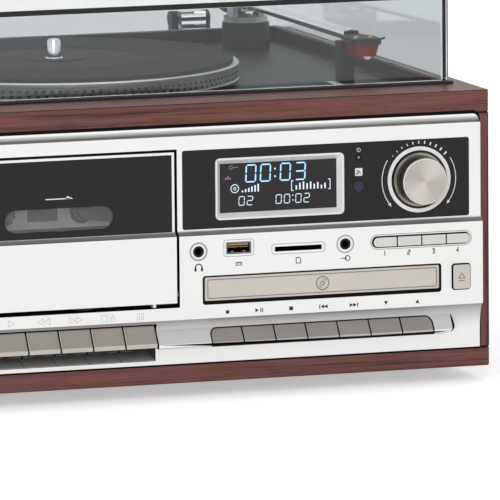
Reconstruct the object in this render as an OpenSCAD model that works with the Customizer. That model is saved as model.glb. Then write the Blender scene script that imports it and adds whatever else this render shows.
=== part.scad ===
// Stereo music centre: wood cabinet, cassette deck, disc drawer, display and turntable.
// Origin: middle of the footprint, on the surface that the feet stand on. +Z up, front faces -Y.
// Front features are placed by three numbers: X from the middle, height above the cabinet's
// underside, and reach in front of the wood's front plane (negative is inside).

/* [Cabinet] */
// Cabinet width
cab_w = 320; // [312:1:360]
// Cabinet depth
cab_d = 320; // [312:1:360]
// Bottom board thickness
bottom_t = 10; // [9:0.5:12]
// Top frame thickness
top_t = 11.5; // [10:0.5:18]
// Side board thickness
side_t = 9; // [7:0.5:10]
// Front panel height
panel_h = 122.2; // [121:0.2:130]
// Shadow gap above and below the front panel
panel_seam = 0.6; // [0.2:0.1:1]
// Radius of the front panel's upper corners
panel_round = 3; // [1:0.5:5]
// Rounding of the cabinet's front edges
edge_r = 1.2; // [0.5:0.1:2]
// Foot height
foot_h = 8; // [5:0.5:14]
// Distance of the front feet's middle from the front
foot_in = 76; // [26:1:90]
// Foot diameter
foot_d = 26; // [18:1:34]
// Rear panel thickness
rear_t = 2.5; // [2:0.5:4]

/* [Front panel] */
// Side overlap of the panel over the side boards
panel_lap = 2.9; // [1.5:0.1:4]
// Reach of the lower face
face_p = 7.2; // [6.8:0.1:9]
// Reach of the upper face
upper_p = 4; // [3.4:0.1:4.6]
// Reach of the bottom band
band_p = 2; // [1.6:0.1:2.6]
// Height of the bottom band's top
cove_z0 = 19; // [18:0.2:20]
// Height of the cove's top
cove_z1 = 34.1; // [33.4:0.1:36]
// Height of the ledge's lower edge
ledge_z = 77.3; // [76.9:0.1:77.6]
// Height of the top strip
strip_h = 4; // [3:0.2:5]

/* [Cassette deck] */
// Middle of the cassette door
door_x = -74.7; // [-76:0.1:-74.5]
// Door width
door_w = 123.8; // [120:0.2:125]
// Door lower edge
door_z0 = 42.8; // [42.4:0.1:43.4]
// Door upper edge
door_z1 = 120.7; // [119:0.1:121]
// Gap at the door's sides and top
door_gap = 1.3; // [0.8:0.1:1.6]
// Gap under the door
door_gap_low = 2.2; // [2:0.1:2.6]
// Silver border round the black upper panel
door_border = 1.5; // [1.2:0.1:3]
// Door hinge pin diameter
door_pin_d = 3; // [2.4:0.1:3.4]
// Height of the door's hinge axis above its lower edge
door_pin_up = 4.2; // [3.8:0.1:4.4]
// Window length
win_w = 58; // [50:0.5:62]
// Window height
win_h = 11.9; // [10:0.1:13]
// Height of the reel spindles
reel_z = 88.6; // [88:0.1:89]
// Distance between the reel spindles
reel_gap = 42.5; // [42:0.1:43]
// Depth of the deck plate behind the wood front
plate_in = 27; // [26:0.5:30]
// Deck plate thickness
plate_t = 3; // [2.5:0.5:4]
// Cassette width
tape_w = 100.4; // [100:0.1:101]
// Cassette height
tape_h = 63.8; // [63:0.1:64]
// Reel hub reach from the deck plate
reel_len = 12; // [8:0.5:14]
// Capstan diameter
capstan_d = 2; // [1.8:0.1:2.5]
// Flywheel diameter
fly_d = 50; // [36:1:56]
// Flywheel thickness
fly_t = 6; // [4:0.5:9]

/* [Piano keys] */
// Left end of the six keys
pk_x = -127.9; // [-129:0.1:-127]
// Spacing of the keys
pk_pitch = 17.3; // [17:0.05:17.4]
// Gap between two keys
pk_gap = 0.7; // [0.4:0.1:1.2]
// Height of the keys' top edge
pk_z1 = 31.4; // [30.6:0.1:31.8]
// Height of the keys' lower lip
pk_z0 = 20.6; // [20:0.1:21.4]
// Reach of the lip
pk_p = 9.5; // [8.5:0.1:11]
// Depth of the key pivot behind the wood front
pk_in = 27; // [25:0.5:30]
// Key pivot rod diameter
pk_rod = 3; // [2.5:0.1:4]
// Depth of the recess under the keys
well_in = 19; // [15:0.5:20]

/* [Display] */
// Left edge of the black panel
blk_x0 = -8.5; // [-9:0.1:-8]
// Right edge of the black panel
blk_x1 = 147.4; // [146:0.1:149]
// Lower edge of the black panel
blk_z0 = 80.3; // [80.1:0.1:81]
// Upper edge of the black panel
blk_z1 = 121; // [120:0.1:122]
// Black panel thickness
blk_t = 2.5; // [2:0.1:3]
// Middle of the display frame
disp_x = 43.9; // [42:0.1:46]
// Height of the display frame's middle
disp_z = 100.4; // [99.6:0.1:101]
// Display frame width
disp_w = 69.8; // [66:0.2:72]
// Display frame height
disp_h = 32; // [28:0.2:34]
// Radius of the frame's corners
disp_round = 2.5; // [0.5:0.1:3]
// Width of the frame's bevel and lip
disp_rim = 3.3; // [2.4:0.1:4]
// Depth of the bevel
disp_bevel = 3; // [2:0.1:4]
// Display glass thickness
lens_t = 2.8; // [2:0.1:3.2]
// Middle of the lamp and the infrared window
lamp_x = 87; // [86:0.1:90]
// Height of the standby lamp
lamp_z = 113.3; // [110:0.1:115]
// Lamp diameter
lamp_d = 3; // [2.5:0.1:4]
// Height of the infrared window
ir_z = 98.2; // [95:0.1:102]
// Infrared window diameter
ir_d = 6.1; // [5:0.1:8]

/* [Volume] */
// Middle of the knob
knob_x = 119.9; // [117:0.1:122]
// Height of the knob's middle
knob_z = 100.3; // [99:0.1:101.5]
// Knob cap diameter
knob_d = 24.2; // [20:0.2:26]
// Knob flange diameter
knob_flange = 28; // [27:0.2:29.4]
// Knob length
knob_len = 9.7; // [8:0.1:14]
// Ring outer diameter
ring_d = 34.4; // [32:0.2:36]
// Ring width
ring_w = 2; // [1.2:0.1:2.4]
// Knob shaft diameter
shaft_d = 6; // [5:0.1:6.4]

/* [Sockets and buttons] */
// Height of the socket row
sock_z = 69; // [68:0.1:70]
// Headphone socket position
phone_x = -1.2; // [-3:0.1:0]
// Auxiliary socket position
aux_x = 78.4; // [76:0.1:82]
// Audio socket bore
jack_bore = 3.6; // [3.6:0.02:3.7]
// Audio socket nose diameter
jack_nose = 5.6; // [5:0.1:7]
// Serial bus socket position
usb_x = 20.5; // [18:0.1:24]
// Serial bus socket shell width
usb_w = 13.1; // [13:0.1:13.4]
// Serial bus socket shell height
usb_h = 5.7; // [5.6:0.1:6]
// Card slot position
card_x = 52.8; // [51:0.1:55]
// Card slot width
card_w = 25.4; // [24.6:0.1:26]
// Card slot height
card_h = 2.4; // [2.3:0.1:3]
// Left end of the four function buttons
fb_x = 93; // [92:0.1:94]
// Length of the row of function buttons
fb_w = 53.8; // [50:0.1:54.4]
// Height of the function buttons
fb_h = 6; // [5.4:0.1:6.8]
// Gap round a button
btn_gap = 0.5; // [0.2:0.05:0.6]
// Press travel of a button or key
btn_travel = 0.8; // [0.5:0.1:1]
// How far a button stands out
btn_out = 1.2; // [0.8:0.1:1.6]

/* [Disc drawer] */
// Left edge of the drawer opening
tray_x = 0.9; // [0:0.1:2]
// Width of the drawer opening
tray_w = 130; // [128:0.2:131]
// Lower edge of the drawer opening
tray_z = 41.3; // [41:0.1:42]
// Height of the drawer opening
tray_h = 14.9; // [14:0.1:15.2]
// Gap between drawer front and opening
tray_gap = 1.2; // [0.8:0.1:1.4]
// Drawer front thickness
tray_front = 2.6; // [2:0.1:3.4]
// Drawer length
tray_len = 150; // [144:1:156]
// Disc well diameter
disc_d = 121; // [120.6:0.1:122]
// Eject button left edge
ej_x = 136.6; // [134:0.1:138]
// Eject button width
ej_w = 10.4; // [9:0.1:11]
// Eject button height
ej_h = 13.8; // [12:0.1:14]
// Loader wall thickness
load_t = 2; // [1.6:0.1:2.4]

/* [Right keys] */
// Left edge of the first key
rk_x = 5.5; // [4:0.1:6.5]
// Spacing of the keys
rk_pitch = 17.26; // [16.8:0.02:17.4]
// Gap between two keys
rk_gap = 0.6; // [0.4:0.05:1]
// Radius of the row's two upper corners
rk_round = 3.5; // [2:0.1:4.5]
// Height of the bar's top edge
bar_z1 = 28.9; // [28:0.1:29.6]
// Height of the bar's underside
bar_z0 = 19.4; // [19.2:0.1:19.8]
// Reach of the bar's lip
bar_p = 8.6; // [8:0.1:9.6]
// Right end of the bar
bar_x1 = 136.8; // [132:0.1:142]

/* [Turntable] */
// Spindle distance from the deck's left edge
spin_side = 120; // [116:0.5:124]
// Spindle distance behind the wood front
spin_in = 158; // [154:0.5:162]
// Platter diameter
plat_d = 196; // [170:1:210]
// Platter height
plat_h = 9.5; // [7:0.5:11]
// Mat thickness
mat_t = 2.5; // [1.5:0.5:3.5]
// Record spindle diameter
spin_d = 7.16; // [7.1:0.02:7.2]
// Spindle height above the mat
spin_up = 10; // [9:0.5:12]
// Platter bearing shaft diameter
bear_d = 6; // [5:0.1:7]
// Tonearm pivot distance from the deck's right edge
arm_side = 31; // [30:0.5:32]
// Tonearm pivot distance in front of the cabinet's back
arm_back = 46; // [44:0.5:50]
// Tonearm base diameter
arm_base = 26; // [22:0.5:28]
// Tonearm tube diameter
tube_d = 7; // [5:0.5:8]
// Tonearm reach from pivot to headshell
arm_len = 178; // [172:1:182]
// Height of the arm's axis over the mat
arm_up = 12; // [11.8:0.1:14]
// Counterweight diameter
weight_d = 18; // [14:0.5:18]
// Counterweight length
weight_l = 14; // [10:0.5:14]
// Distance between the arm rest and the headshell
rest_gap = 10; // [6:0.5:14]
// Speed lever distance from the deck's right edge
speed_side = 56; // [52:1:66]
// Speed lever distance behind the wood front
speed_in = 56; // [55:0.5:58]
// Deck floor below the cabinet's top
deck_drop = 6; // [5:0.5:7]
// Deck thickness
deck_t = 2.8; // [2.2:0.1:3.4]
// Wood rim in front of the deck
rim_front = 34; // [30:0.5:38]
// Wood rim beside the deck
rim_side = 12; // [11:0.5:14]
// Wood rim behind the deck
rim_rear = 8; // [7:0.5:10]
// Deck flange thickness
flange_t = 1.5; // [1:0.1:2]

/* [Dust cover] */
// Cover height
cover_h = 46; // [44:0.5:60]
// Cover wall thickness
cover_t = 3; // [2:0.1:3.6]
// Hinge pin diameter
hinge_pin = 3; // [2.5:0.1:4]
// Hinge spacing
hinge_gap = 200; // [160:1:230]

/* [Rear] */
// Middle of the terminal plate
term_x = -70; // [-90:1:-60]
// Height of the terminals
term_z = 46; // [40:1:70]
// Middle of the mains inlet
inlet_x = 120; // [100:1:130]
// Height of the mains inlet
inlet_z = 36; // [30:1:60]
// Aerial socket position
aerial_x = 10; // [0:1:40]
// Line output socket diameter
line_d = 8.3; // [8:0.1:8.6]

/* [Inside] */
// Circuit board thickness
pcb_t = 1.6; // [1:0.1:2]
// Depth of the front board behind the wood front
pcb_in = 10.4; // [10.4:0.1:12]
// Main board width
main_w = 150; // [120:1:152]
// Main board depth
main_l = 120; // [90:1:130]
// Transformer width
trafo_w = 62; // [50:1:70]
// Transformer height
trafo_h = 52; // [40:1:60]
// Platter motor diameter
motor_d = 62; // [48:1:72]
// Platter motor height
motor_h = 20; // [14:0.5:24]
// Running clearance of a shaft in its bore, all round
run_c = 0.05; // [0.03:0.01:0.08]
// Clearance between loose neighbours
seat_c = 0.3; // [0.2:0.05:0.4]

/* [Hidden] */
$fn = 48;
e = 0.01;

// colours as photographed
wood_c = [0.46, 0.28, 0.26];
silver_c = [0.93, 0.93, 0.92];
black_c = [0.15, 0.14, 0.14];
key_c = [0.60, 0.57, 0.55];
beige_c = [0.80, 0.78, 0.75];
steel_c = [0.70, 0.70, 0.72];
green_c = [0.10, 0.34, 0.20];

// overall
panel_z0 = bottom_t + panel_seam;
panel_z1 = panel_z0 + panel_h;
top_z0 = panel_z1 + panel_seam;
cab_h = top_z0 + top_t;
panel_x = cab_w / 2 - side_t + panel_lap;
inner_x = cab_w / 2 - side_t;
knob_p = upper_p + 0.6 + knob_len;
front_reach = max(knob_p, pk_p, face_p + btn_out);
hinge_out = 4;
eye_r = hinge_pin / 2 + 3;
rear_reach = hinge_out + eye_r;
yf = front_reach - (front_reach + cab_d + rear_reach) / 2;

// cassette deck
open_x0 = door_x - door_w / 2 - door_gap;
open_x1 = door_x + door_w / 2 + door_gap;
open_z0 = door_z0 - door_gap_low;
open_z1 = door_z1 + door_gap;
door_x0 = door_x - door_w / 2;
door_x1 = door_x + door_w / 2;
door_back = 1;
hinge_p = 3.2;
hinge_z = door_z0 + door_pin_up;
pin_in = 3;
dark_z0 = ledge_z + 2.2;
dark_z1 = door_z1 - door_border;
dark_t = 2;
tape_z0 = reel_z - 34.3;
fly_x = door_x + reel_gap / 2 + 3;
fly_z = tape_z0 + 6;
boss_d = 7;

// keys
pk_w = pk_pitch - pk_gap;
pk_end = pk_x + 6 * pk_pitch;
pk_side = 0.8;
pk_open_z1 = pk_z1 + 0.9;
rod_z = pk_z1 - 3.2;
hub_r = pk_rod / 2 + 1.6;
rk_end = rk_x + 7 * rk_pitch;
rk_w = rk_pitch - rk_gap;
well_t = 1.6;
well_floor = panel_z0 + 2.2;

// display
lens_w = disp_w - 2.4;
lens_h = disp_h - 2.4;
disp_p = upper_p + 1;
lens_p = disp_p - disp_bevel;

// drawer
face_w = tray_w - 2 * tray_gap;
face_x = tray_x + tray_gap;
face_z0 = tray_z + 1.9;
face_z1 = tray_z + tray_h - 0.8;
plate_x0 = face_x + 2;
plate_x1 = face_x + face_w - 2;
ride_z = face_z0 + 1.8;
ride_t = 4;
disc_in = tray_len - 8 - disc_d / 2 - 1;
disc_x = tray_x + tray_w / 2;
load_len = tray_len + 6;

// turntable
top_z = cab_h;
deck_z = top_z - deck_drop;
deck_x = cab_w / 2 - rim_side;
spin_x = spin_side - deck_x;
arm_x = deck_x - arm_side;
arm_in = cab_d - arm_back;
rest_l = arm_len - rest_gap;
speed_x = deck_x - speed_side;
plat_z0 = deck_z + 2.2;
plat_z1 = plat_z0 + plat_h;
mat_z1 = plat_z1 + mat_t;
arm_z = mat_z1 + arm_up;
tower_h = arm_z - deck_z - 11;
shoulder_d = spin_d + 2.4;
rim_z = top_z + flange_t;

// cover
cover_x = deck_x + 2;
cover_p0 = -(rim_front - 2);
cover_p1 = -(cab_d - rim_rear + 3);
cover_z0 = rim_z + seat_c;
pivot_p = -(cab_d + hinge_out);
pivot_z = cover_z0 + eye_r + 0.4;
lug_w = 14;
cheek_w = 4;

// box from reach p0 to p1, heights z0 to z1 above the cabinet's underside
module pbox(x0, x1, p0, p1, z0, z1) {
  translate([x0, yf - p1, z0 + foot_h]) cube([x1 - x0, p1 - p0, z1 - z0]);
}

// round bar along Y from reach p0 to p1
module ycyl(x, z, p0, p1, d, d2 = -1) {
  translate([x, yf - p0, z + foot_h]) rotate([90, 0, 0])
    cylinder(h = p1 - p0, d1 = d, d2 = d2 < 0 ? d : d2);
}

// round bar along X
module xcyl(p, z, x0, x1, d) {
  translate([x0, yf - p, z + foot_h]) rotate([0, 90, 0]) cylinder(h = x1 - x0, d = d);
}

// round bar along Z
module zcyl(x, p, z0, z1, d) {
  translate([x, yf - p, z0 + foot_h]) cylinder(h = z1 - z0, d = d);
}

// profile of [reach, height] points drawn out along X
module xprism(pts, x0, x1) {
  translate([x0, yf, foot_h]) rotate([90, 0, 90])
    linear_extrude(x1 - x0) polygon([for (q = pts) [-q[0], q[1]]]);
}

// rectangle with round corners
module rrect(w, h, r) {
  square([w - 2 * r, h], center = true);
  square([w, h - 2 * r], center = true);
  for (i = [-1, 1], j = [-1, 1])
    translate([i * (w / 2 - r), j * (h / 2 - r)]) circle(r = r);
}

// plate with round corners that faces the front
module yplate(x0, x1, z0, z1, p0, p1, r) {
  translate([(x0 + x1) / 2, yf - p0, (z0 + z1) / 2 + foot_h]) rotate([90, 0, 0])
    linear_extrude(p1 - p0) rrect(x1 - x0, z1 - z0, r);
}

// plate with round corners that lies flat
module zplate(x0, x1, p0, p1, z0, z1, r) {
  translate([(x0 + x1) / 2, yf - (p0 + p1) / 2, z0 + foot_h])
    linear_extrude(z1 - z0) rrect(x1 - x0, p1 - p0, r);
}

// ---- cabinet ----

module side_boards() {
  color(wood_c) for (s = [0, 1]) mirror([s, 0, 0])
    xprism([[0, bottom_t], [0, top_z0], [-cab_d, top_z0], [-cab_d, bottom_t]],
      inner_x, cab_w / 2);
}

module bottom_board() {
  r = edge_r;
  color(wood_c) union() {
    pbox(-cab_w / 2, cab_w / 2, -cab_d, -r, 0, bottom_t);
    pbox(-cab_w / 2 + r, cab_w / 2 - r, -r - 1, 0, r, bottom_t);
    pbox(-cab_w / 2, cab_w / 2, -r - 1, -r, 0, bottom_t);
    intersection() {
      pbox(-cab_w / 2, cab_w / 2, -r - 1, 0, 0, bottom_t);
      union() {
        xcyl(-r, r, -cab_w / 2 + r, cab_w / 2 - r, 2 * r);
        for (s = [-1, 1]) zcyl(s * (cab_w / 2 - r), -r, r, bottom_t, 2 * r);
      }
    }
  }
}

module top_frame() {
  color(wood_c) difference() {
    zplate(-cab_w / 2, cab_w / 2, -cab_d, 0, top_z0, top_z, edge_r);
    pbox(-deck_x, deck_x, -(cab_d - rim_rear), -rim_front, panel_z1 - 1, top_z + 1);
  }
}

module rear_panel() {
  y0 = -cab_d;
  y1 = -cab_d + rear_t;
  color(black_c) difference() {
    union() {
      pbox(-inner_x, inner_x, y0, y1, bottom_t, top_z0);
      for (z = [bottom_t + 1, panel_z1 - 5])
        pbox(-inner_x + 2, inner_x - 2, y1 - e, y1 + 5, z, z + 3);
    }
    for (i = [0:11], j = [0, 1])
      pbox(20 + i * 9, 23 + i * 9, y0 - 1, y1 + 1, 84 + j * 20, 100 + j * 20);
    pbox(term_x - 44, term_x + 44, y0 - 1, y1 + 1, term_z - 17, term_z + 17);
    yplate(inlet_x - 11, inlet_x + 11, inlet_z - 6, inlet_z + 6, y0 - 1, y1 + 1, 1);
    ycyl(aerial_x, term_z, y0 - 1, y1 + 1, 9);
  }
}

module feet() {
  color(black_c) for (sx = [-1, 1], p = [-foot_in, -cab_d + 30])
    translate([sx * (cab_w / 2 - 30), yf - p, 0]) difference() {
      cylinder(h = foot_h, d1 = foot_d - 3, d2 = foot_d);
      translate([0, 0, -1]) cylinder(h = 3, d = foot_d / 3);
    }
}

// ---- front panel ----

// panel outline in [reach, height]: band, hollow cove, lower face, ledge, upper face, hollow strip
function cove_curve() = [for (i = [0:10]) let (t = i * 9)
  [face_p - (face_p - band_p) * cos(t), cove_z0 + (cove_z1 - cove_z0) * sin(t)]];
function strip_curve() = [for (i = [0:8]) let (t = 90 - i * 11.25)
  [upper_p - (upper_p - 0.5) * cos(t), panel_z1 - strip_h * sin(t)]];
function panel_curve() = concat([[0, panel_z0], [band_p, panel_z0]], cove_curve(),
  [[face_p, ledge_z], [upper_p, ledge_z + face_p - upper_p - 0.7]], strip_curve(),
  [[0, panel_z1]]);
function bar_curve() = [[0, bar_z0], [bar_p - 1, bar_z0], [bar_p, bar_z0 + 0.8],
  [bar_p, bar_z0 + 2.4], [3.3, bar_z1], [0, bar_z1]];

// shape of one of the two groups of keys' common recesses
module key_opening(x0, x1, z0, z1) { pbox(x0, x1, -1, bar_p + 2, z0, z1); }

// front shape with its upper corners rounded, used for the right keys and their opening
module crowned(x0, x1, z0, z1, p0, p1, r) {
  intersection() {
    yplate(x0, x1, z0 - 2 * r, z1, p0, p1, r);
    pbox(x0, x1, p0, p1, z0, z1);
  }
}

module front_panel() {
  color(silver_c) difference() {
    union() {
      intersection() {
        xprism(panel_curve(), -panel_x, panel_x);
        crowned(-panel_x, panel_x, panel_z0 - 1, panel_z1, -1, face_p + 1, panel_round);
      }
      intersection() {
        xprism(bar_curve(), pk_end, bar_x1);
        yplate(pk_end - 20, bar_x1, bar_z0, bar_z1 + 6, -1, bar_p + 1, 4);
      }
    }
    // cassette bay and its hinge bores
    pbox(open_x0, open_x1, -1, face_p + 1, open_z0, open_z1);
    xcyl(hinge_p, hinge_z, open_x0 - pin_in - 1, open_x1 + pin_in + 1,
      door_pin_d + 2 * run_c);
    // piano keys
    key_opening(pk_x - pk_side, pk_end + pk_side, well_floor, pk_open_z1);
    // right keys
    crowned(rk_x - rk_gap / 2, rk_end + rk_gap / 2, bar_z0 + 0.9, bar_z1 - 0.1, -1,
      bar_p + 2, rk_round + 0.3);
    // black panel, display, lamp, infrared window and knob bush
    yplate(blk_x0 - 0.1, blk_x1 + 0.1, blk_z0 - 0.1, blk_z1 + 0.1,
      upper_p + 0.2 - blk_t, upper_p + 1, 1.1);
    pbox(disp_x - disp_w / 2 - 0.2, disp_x + disp_w / 2 + 0.2, -1, upper_p + 1,
      disp_z - disp_h / 2 - 0.2, disp_z + disp_h / 2 + 0.2);
    ycyl(lamp_x, lamp_z, -1, upper_p + 1, lamp_d + 0.2);
    ycyl(lamp_x, ir_z, -1, upper_p + 1, ir_d + 0.2);
    ycyl(knob_x, knob_z, -1, upper_p + 1, shaft_d + 2.4);
    // sockets
    for (x = [phone_x, aux_x]) ycyl(x, sock_z, -1, face_p + 1, jack_nose + 0.2);
    difference() {
      ycyl(phone_x, sock_z, face_p - 0.4, face_p + 1, 9.6);
      ycyl(phone_x, sock_z, face_p - 0.5, face_p + 2, 8.2);
    }
    yplate(usb_x - usb_w / 2 - 0.2, usb_x + usb_w / 2 + 0.2, sock_z + 1 - usb_h / 2 - 0.2,
      sock_z + 1 + usb_h / 2 + 0.2, -1, face_p + 1, 0.5);
    pbox(card_x - card_w / 2, card_x + card_w / 2, -1, face_p + 1,
      sock_z - 0.8 - card_h / 2, sock_z - 0.8 + card_h / 2);
    yplate(fb_x, fb_x + fb_w, sock_z - fb_h / 2, sock_z + fb_h / 2, -1, face_p + 1,
      fb_h / 2 - e);
    // disc drawer and eject button
    pbox(tray_x, tray_x + tray_w, -1, face_p + 1, tray_z, tray_z + tray_h);
    yplate(ej_x, ej_x + ej_w, tray_z + tray_h / 2 - ej_h / 2, tray_z + tray_h / 2 + ej_h / 2,
      -1, face_p + 1, 1.2 + btn_gap);
  }
}

module display_panel() {
  p0 = upper_p + 0.2 - blk_t;
  color(black_c) difference() {
    yplate(blk_x0, blk_x1, blk_z0, blk_z1, p0, p0 + blk_t, 1);
    yplate(disp_x - disp_w / 2 - 0.1, disp_x + disp_w / 2 + 0.1, disp_z - disp_h / 2 - 0.1,
      disp_z + disp_h / 2 + 0.1, p0 - 1, p0 + blk_t + 1, disp_round + 0.1);
    ycyl(lamp_x, lamp_z, p0 - 1, p0 + blk_t + 1, lamp_d + 0.2);
    ycyl(lamp_x, ir_z, p0 - 1, p0 + blk_t + 1, ir_d + 0.2);
    ycyl(knob_x, knob_z, p0 - 1, p0 + blk_t + 1, shaft_d + 2.4);
  }
}

module display_frame() {
  lip = disp_rim * 0.3;
  color(silver_c) difference() {
    yplate(disp_x - disp_w / 2, disp_x + disp_w / 2, disp_z - disp_h / 2, disp_z + disp_h / 2,
      lens_p - lens_t, disp_p, disp_round);
    // sloped inner faces
    hull() {
      pbox(disp_x - disp_w / 2 + lip, disp_x + disp_w / 2 - lip, disp_p, disp_p + 1,
        disp_z - disp_h / 2 + lip, disp_z + disp_h / 2 - lip);
      pbox(disp_x - disp_w / 2 + disp_rim, disp_x + disp_w / 2 - disp_rim, lens_p - e, lens_p,
        disp_z - disp_h / 2 + disp_rim, disp_z + disp_h / 2 - disp_rim);
    }
    pbox(disp_x - lens_w / 2 - 0.1, disp_x + lens_w / 2 + 0.1, lens_p - lens_t - 1, lens_p,
      disp_z - lens_h / 2 - 0.1, disp_z + lens_h / 2 + 0.1);
  }
}

module display_lens() {
  color([0.10, 0.10, 0.12]) pbox(disp_x - lens_w / 2, disp_x + lens_w / 2,
    lens_p - lens_t, lens_p, disp_z - lens_h / 2, disp_z + lens_h / 2);
}

module knob_ring() {
  color("white") difference() {
    ycyl(knob_x, knob_z, upper_p + 0.2, upper_p + 0.9, ring_d);
    ycyl(knob_x, knob_z, upper_p - 1, upper_p + 2, ring_d - 2 * ring_w);
  }
}

module status_lamp() {
  color([0.55, 0.08, 0.08]) union() {
    ycyl(lamp_x, lamp_z, -pcb_in, upper_p + 0.3, lamp_d);
    ycyl(lamp_x, lamp_z, -pcb_in, -pcb_in + 1, lamp_d + 0.8);
  }
}

module remote_window() {
  color([0.12, 0.10, 0.25]) union() {
    ycyl(lamp_x, ir_z, -1.2, upper_p + 0.4, ir_d);
    ycyl(lamp_x, ir_z, -1.2, 0, ir_d + 2);
  }
}

// ---- sockets ----

module jack_sockets() {
  color(black_c) for (x = [phone_x, aux_x]) difference() {
    union() {
      pbox(x - 5, x + 5, -pcb_in, 0, sock_z - 4.6, sock_z + 4.6);
      ycyl(x, sock_z, -e, face_p - 0.2, jack_nose);
    }
    ycyl(x, sock_z, face_p - 14.5, face_p, jack_bore);
  }
}

module usb_socket() {
  z = sock_z + 1;
  color(steel_c) union() {
    difference() {
      pbox(usb_x - usb_w / 2, usb_x + usb_w / 2, -pcb_in, face_p - 0.3, z - usb_h / 2,
        z + usb_h / 2);
      pbox(usb_x - usb_w / 2 + 0.4, usb_x + usb_w / 2 - 0.4, -pcb_in + 1, face_p,
        z - usb_h / 2 + 0.4, z + usb_h / 2 - 0.4);
    }
    pbox(usb_x - 5.6, usb_x + 5.6, -pcb_in + 0.5, face_p - 1.5, z + 0.2, z + 1.9);
  }
}

module card_socket() {
  z = sock_z - 0.8;
  color(steel_c) difference() {
    pbox(card_x - card_w / 2 - 1.5, card_x + card_w / 2 + 1.5, -27, 0, z - 2.4, z + 2.4);
    pbox(card_x - card_w / 2, card_x + card_w / 2, -25, 1, z - card_h / 2, z + card_h / 2);
  }
}

// ---- cassette deck ----

module key_well() {
  x0 = pk_x - pk_side;
  x1 = pk_end + pk_side;
  color([0.35, 0.34, 0.34]) difference() {
    union() {
      pbox(x0 - well_t, x1 + well_t, -well_in - well_t, 0, bottom_t, well_floor);
      pbox(x0 - well_t, x1 + well_t, -well_in - well_t, -well_in, well_floor - e, pk_z0 - 2);
      for (x = [x0 - well_t - 2, x1]) pbox(x, x + well_t + 2, -pk_in - 5, 0, bottom_t,
        pk_open_z1);
    }
    xcyl(-pk_in, rod_z, x0 - 1, x1 + 1, pk_rod);
  }
  color(steel_c) xcyl(-pk_in, rod_z, x0 - 1, x1 + 1, pk_rod);
}

module deck_plate() {
  p1 = -plate_in;
  p0 = p1 - plate_t;
  x0 = open_x0 - 8;
  x1 = open_x1 + 7;
  color([0.72, 0.72, 0.72]) difference() {
    union() {
      pbox(x0, x1, p0, p1, open_z0 + 2, open_z1 + 3);
      for (x = [x0 + 4, x1 - 3.6], z = [open_z0 + 12, open_z1 - 12])
        ycyl(x, z, p1 - e, 0, boss_d - 0.6);
      pbox(door_x - 7, door_x + 7, p1 - e, p1 + 9, tape_z0 - 2, tape_z0 + 9);
      pbox(door_x - 8.2, door_x + 8.2, p1 - e, p1 + 0.8, reel_z - 4.6, reel_z + 5);
    }
    for (s = [-1, 1]) {
      ycyl(door_x + s * reel_gap / 2, reel_z, p0 - 1, p1 + 1, 3 + 2 * run_c);
      ycyl(door_x + s * reel_gap / 2, reel_z, p1 - 1.7, p1 + 1, 11.5);
    }
    ycyl(fly_x, fly_z, p0 - 1, p1 + 1, capstan_d + 2 * run_c);
  }
}

module reel(x) {
  p1 = -plate_in;
  color([0.24, 0.24, 0.25]) union() {
    ycyl(x, reel_z, p1 - plate_t - 3.4, p1 - 1.3, 3);
    ycyl(x, reel_z, p1 - plate_t - 3.4, p1 - plate_t - 0.4, 24);
    ycyl(x, reel_z, p1 - 1.5, p1 + 1.2, 10);
    ycyl(x, reel_z, p1, p1 + reel_len, 5);
    for (a = [0, 60, 120]) translate([x, yf - p1, reel_z + foot_h]) rotate([0, a, 0])
      translate([-4, -reel_len + 1.5, -0.6]) cube([8, reel_len - 3, 1.2]);
  }
}
module reel_left() reel(door_x - reel_gap / 2);
module reel_right() reel(door_x + reel_gap / 2);

module flywheel() {
  p = -plate_in - plate_t - 4;
  color(steel_c) union() {
    ycyl(fly_x, fly_z, p - 1, -plate_in + 10, capstan_d);
    ycyl(fly_x, fly_z, p - fly_t, p, fly_d);
    ycyl(fly_x, fly_z, p - e, -plate_in - plate_t - 0.4, 8);
  }
}

// door outline: the panel's own profile from its ledge down, with the back flat
module cassette_door() {
  color(silver_c) difference() {
    union() {
      xprism([[door_back, door_z0], [face_p, door_z0], [face_p, ledge_z],
        [upper_p, ledge_z + face_p - upper_p - 0.7], [upper_p, door_z1],
        [door_back, door_z1]], door_x0, door_x1);
      xcyl(hinge_p, hinge_z, door_x0 - door_gap - pin_in, door_x1 + door_gap + pin_in,
        door_pin_d);
    }
    // seat of the black panel and the view through it
    pbox(door_x0 + door_border, door_x1 - door_border, upper_p - dark_t, upper_p + 1,
      dark_z0, dark_z1);
    pbox(door_x0 + door_border + 6, door_x1 - door_border - 6, door_back - 1, upper_p,
      dark_z0 + 2, dark_z1 - 4);
    // hollow back of the lower half
    pbox(door_x0 + 4, door_x1 - 4, door_back - 1, face_p - 2.4, hinge_z + 4, ledge_z - 4);
  }
}

module door_panel() {
  z0 = reel_z + 0.2 - win_h / 2;
  color(black_c) difference() {
    pbox(door_x0 + door_border + 0.1, door_x1 - door_border - 0.1, upper_p - dark_t, upper_p,
      dark_z0 + 0.1, dark_z1 - 0.1);
    yplate(door_x - win_w / 2, door_x + win_w / 2, z0, z0 + win_h, 0, upper_p + 1,
      win_h / 2 - e);
  }
}

module door_window() {
  z0 = reel_z + 0.2 - win_h / 2;
  color([0.8, 0.85, 0.9, 0.4]) yplate(door_x - win_w / 2 + 0.1, door_x + win_w / 2 - 0.1,
    z0 + 0.1, z0 + win_h - 0.1, upper_p - dark_t, upper_p - 0.2, win_h / 2 - 0.1 - e);
}

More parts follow.
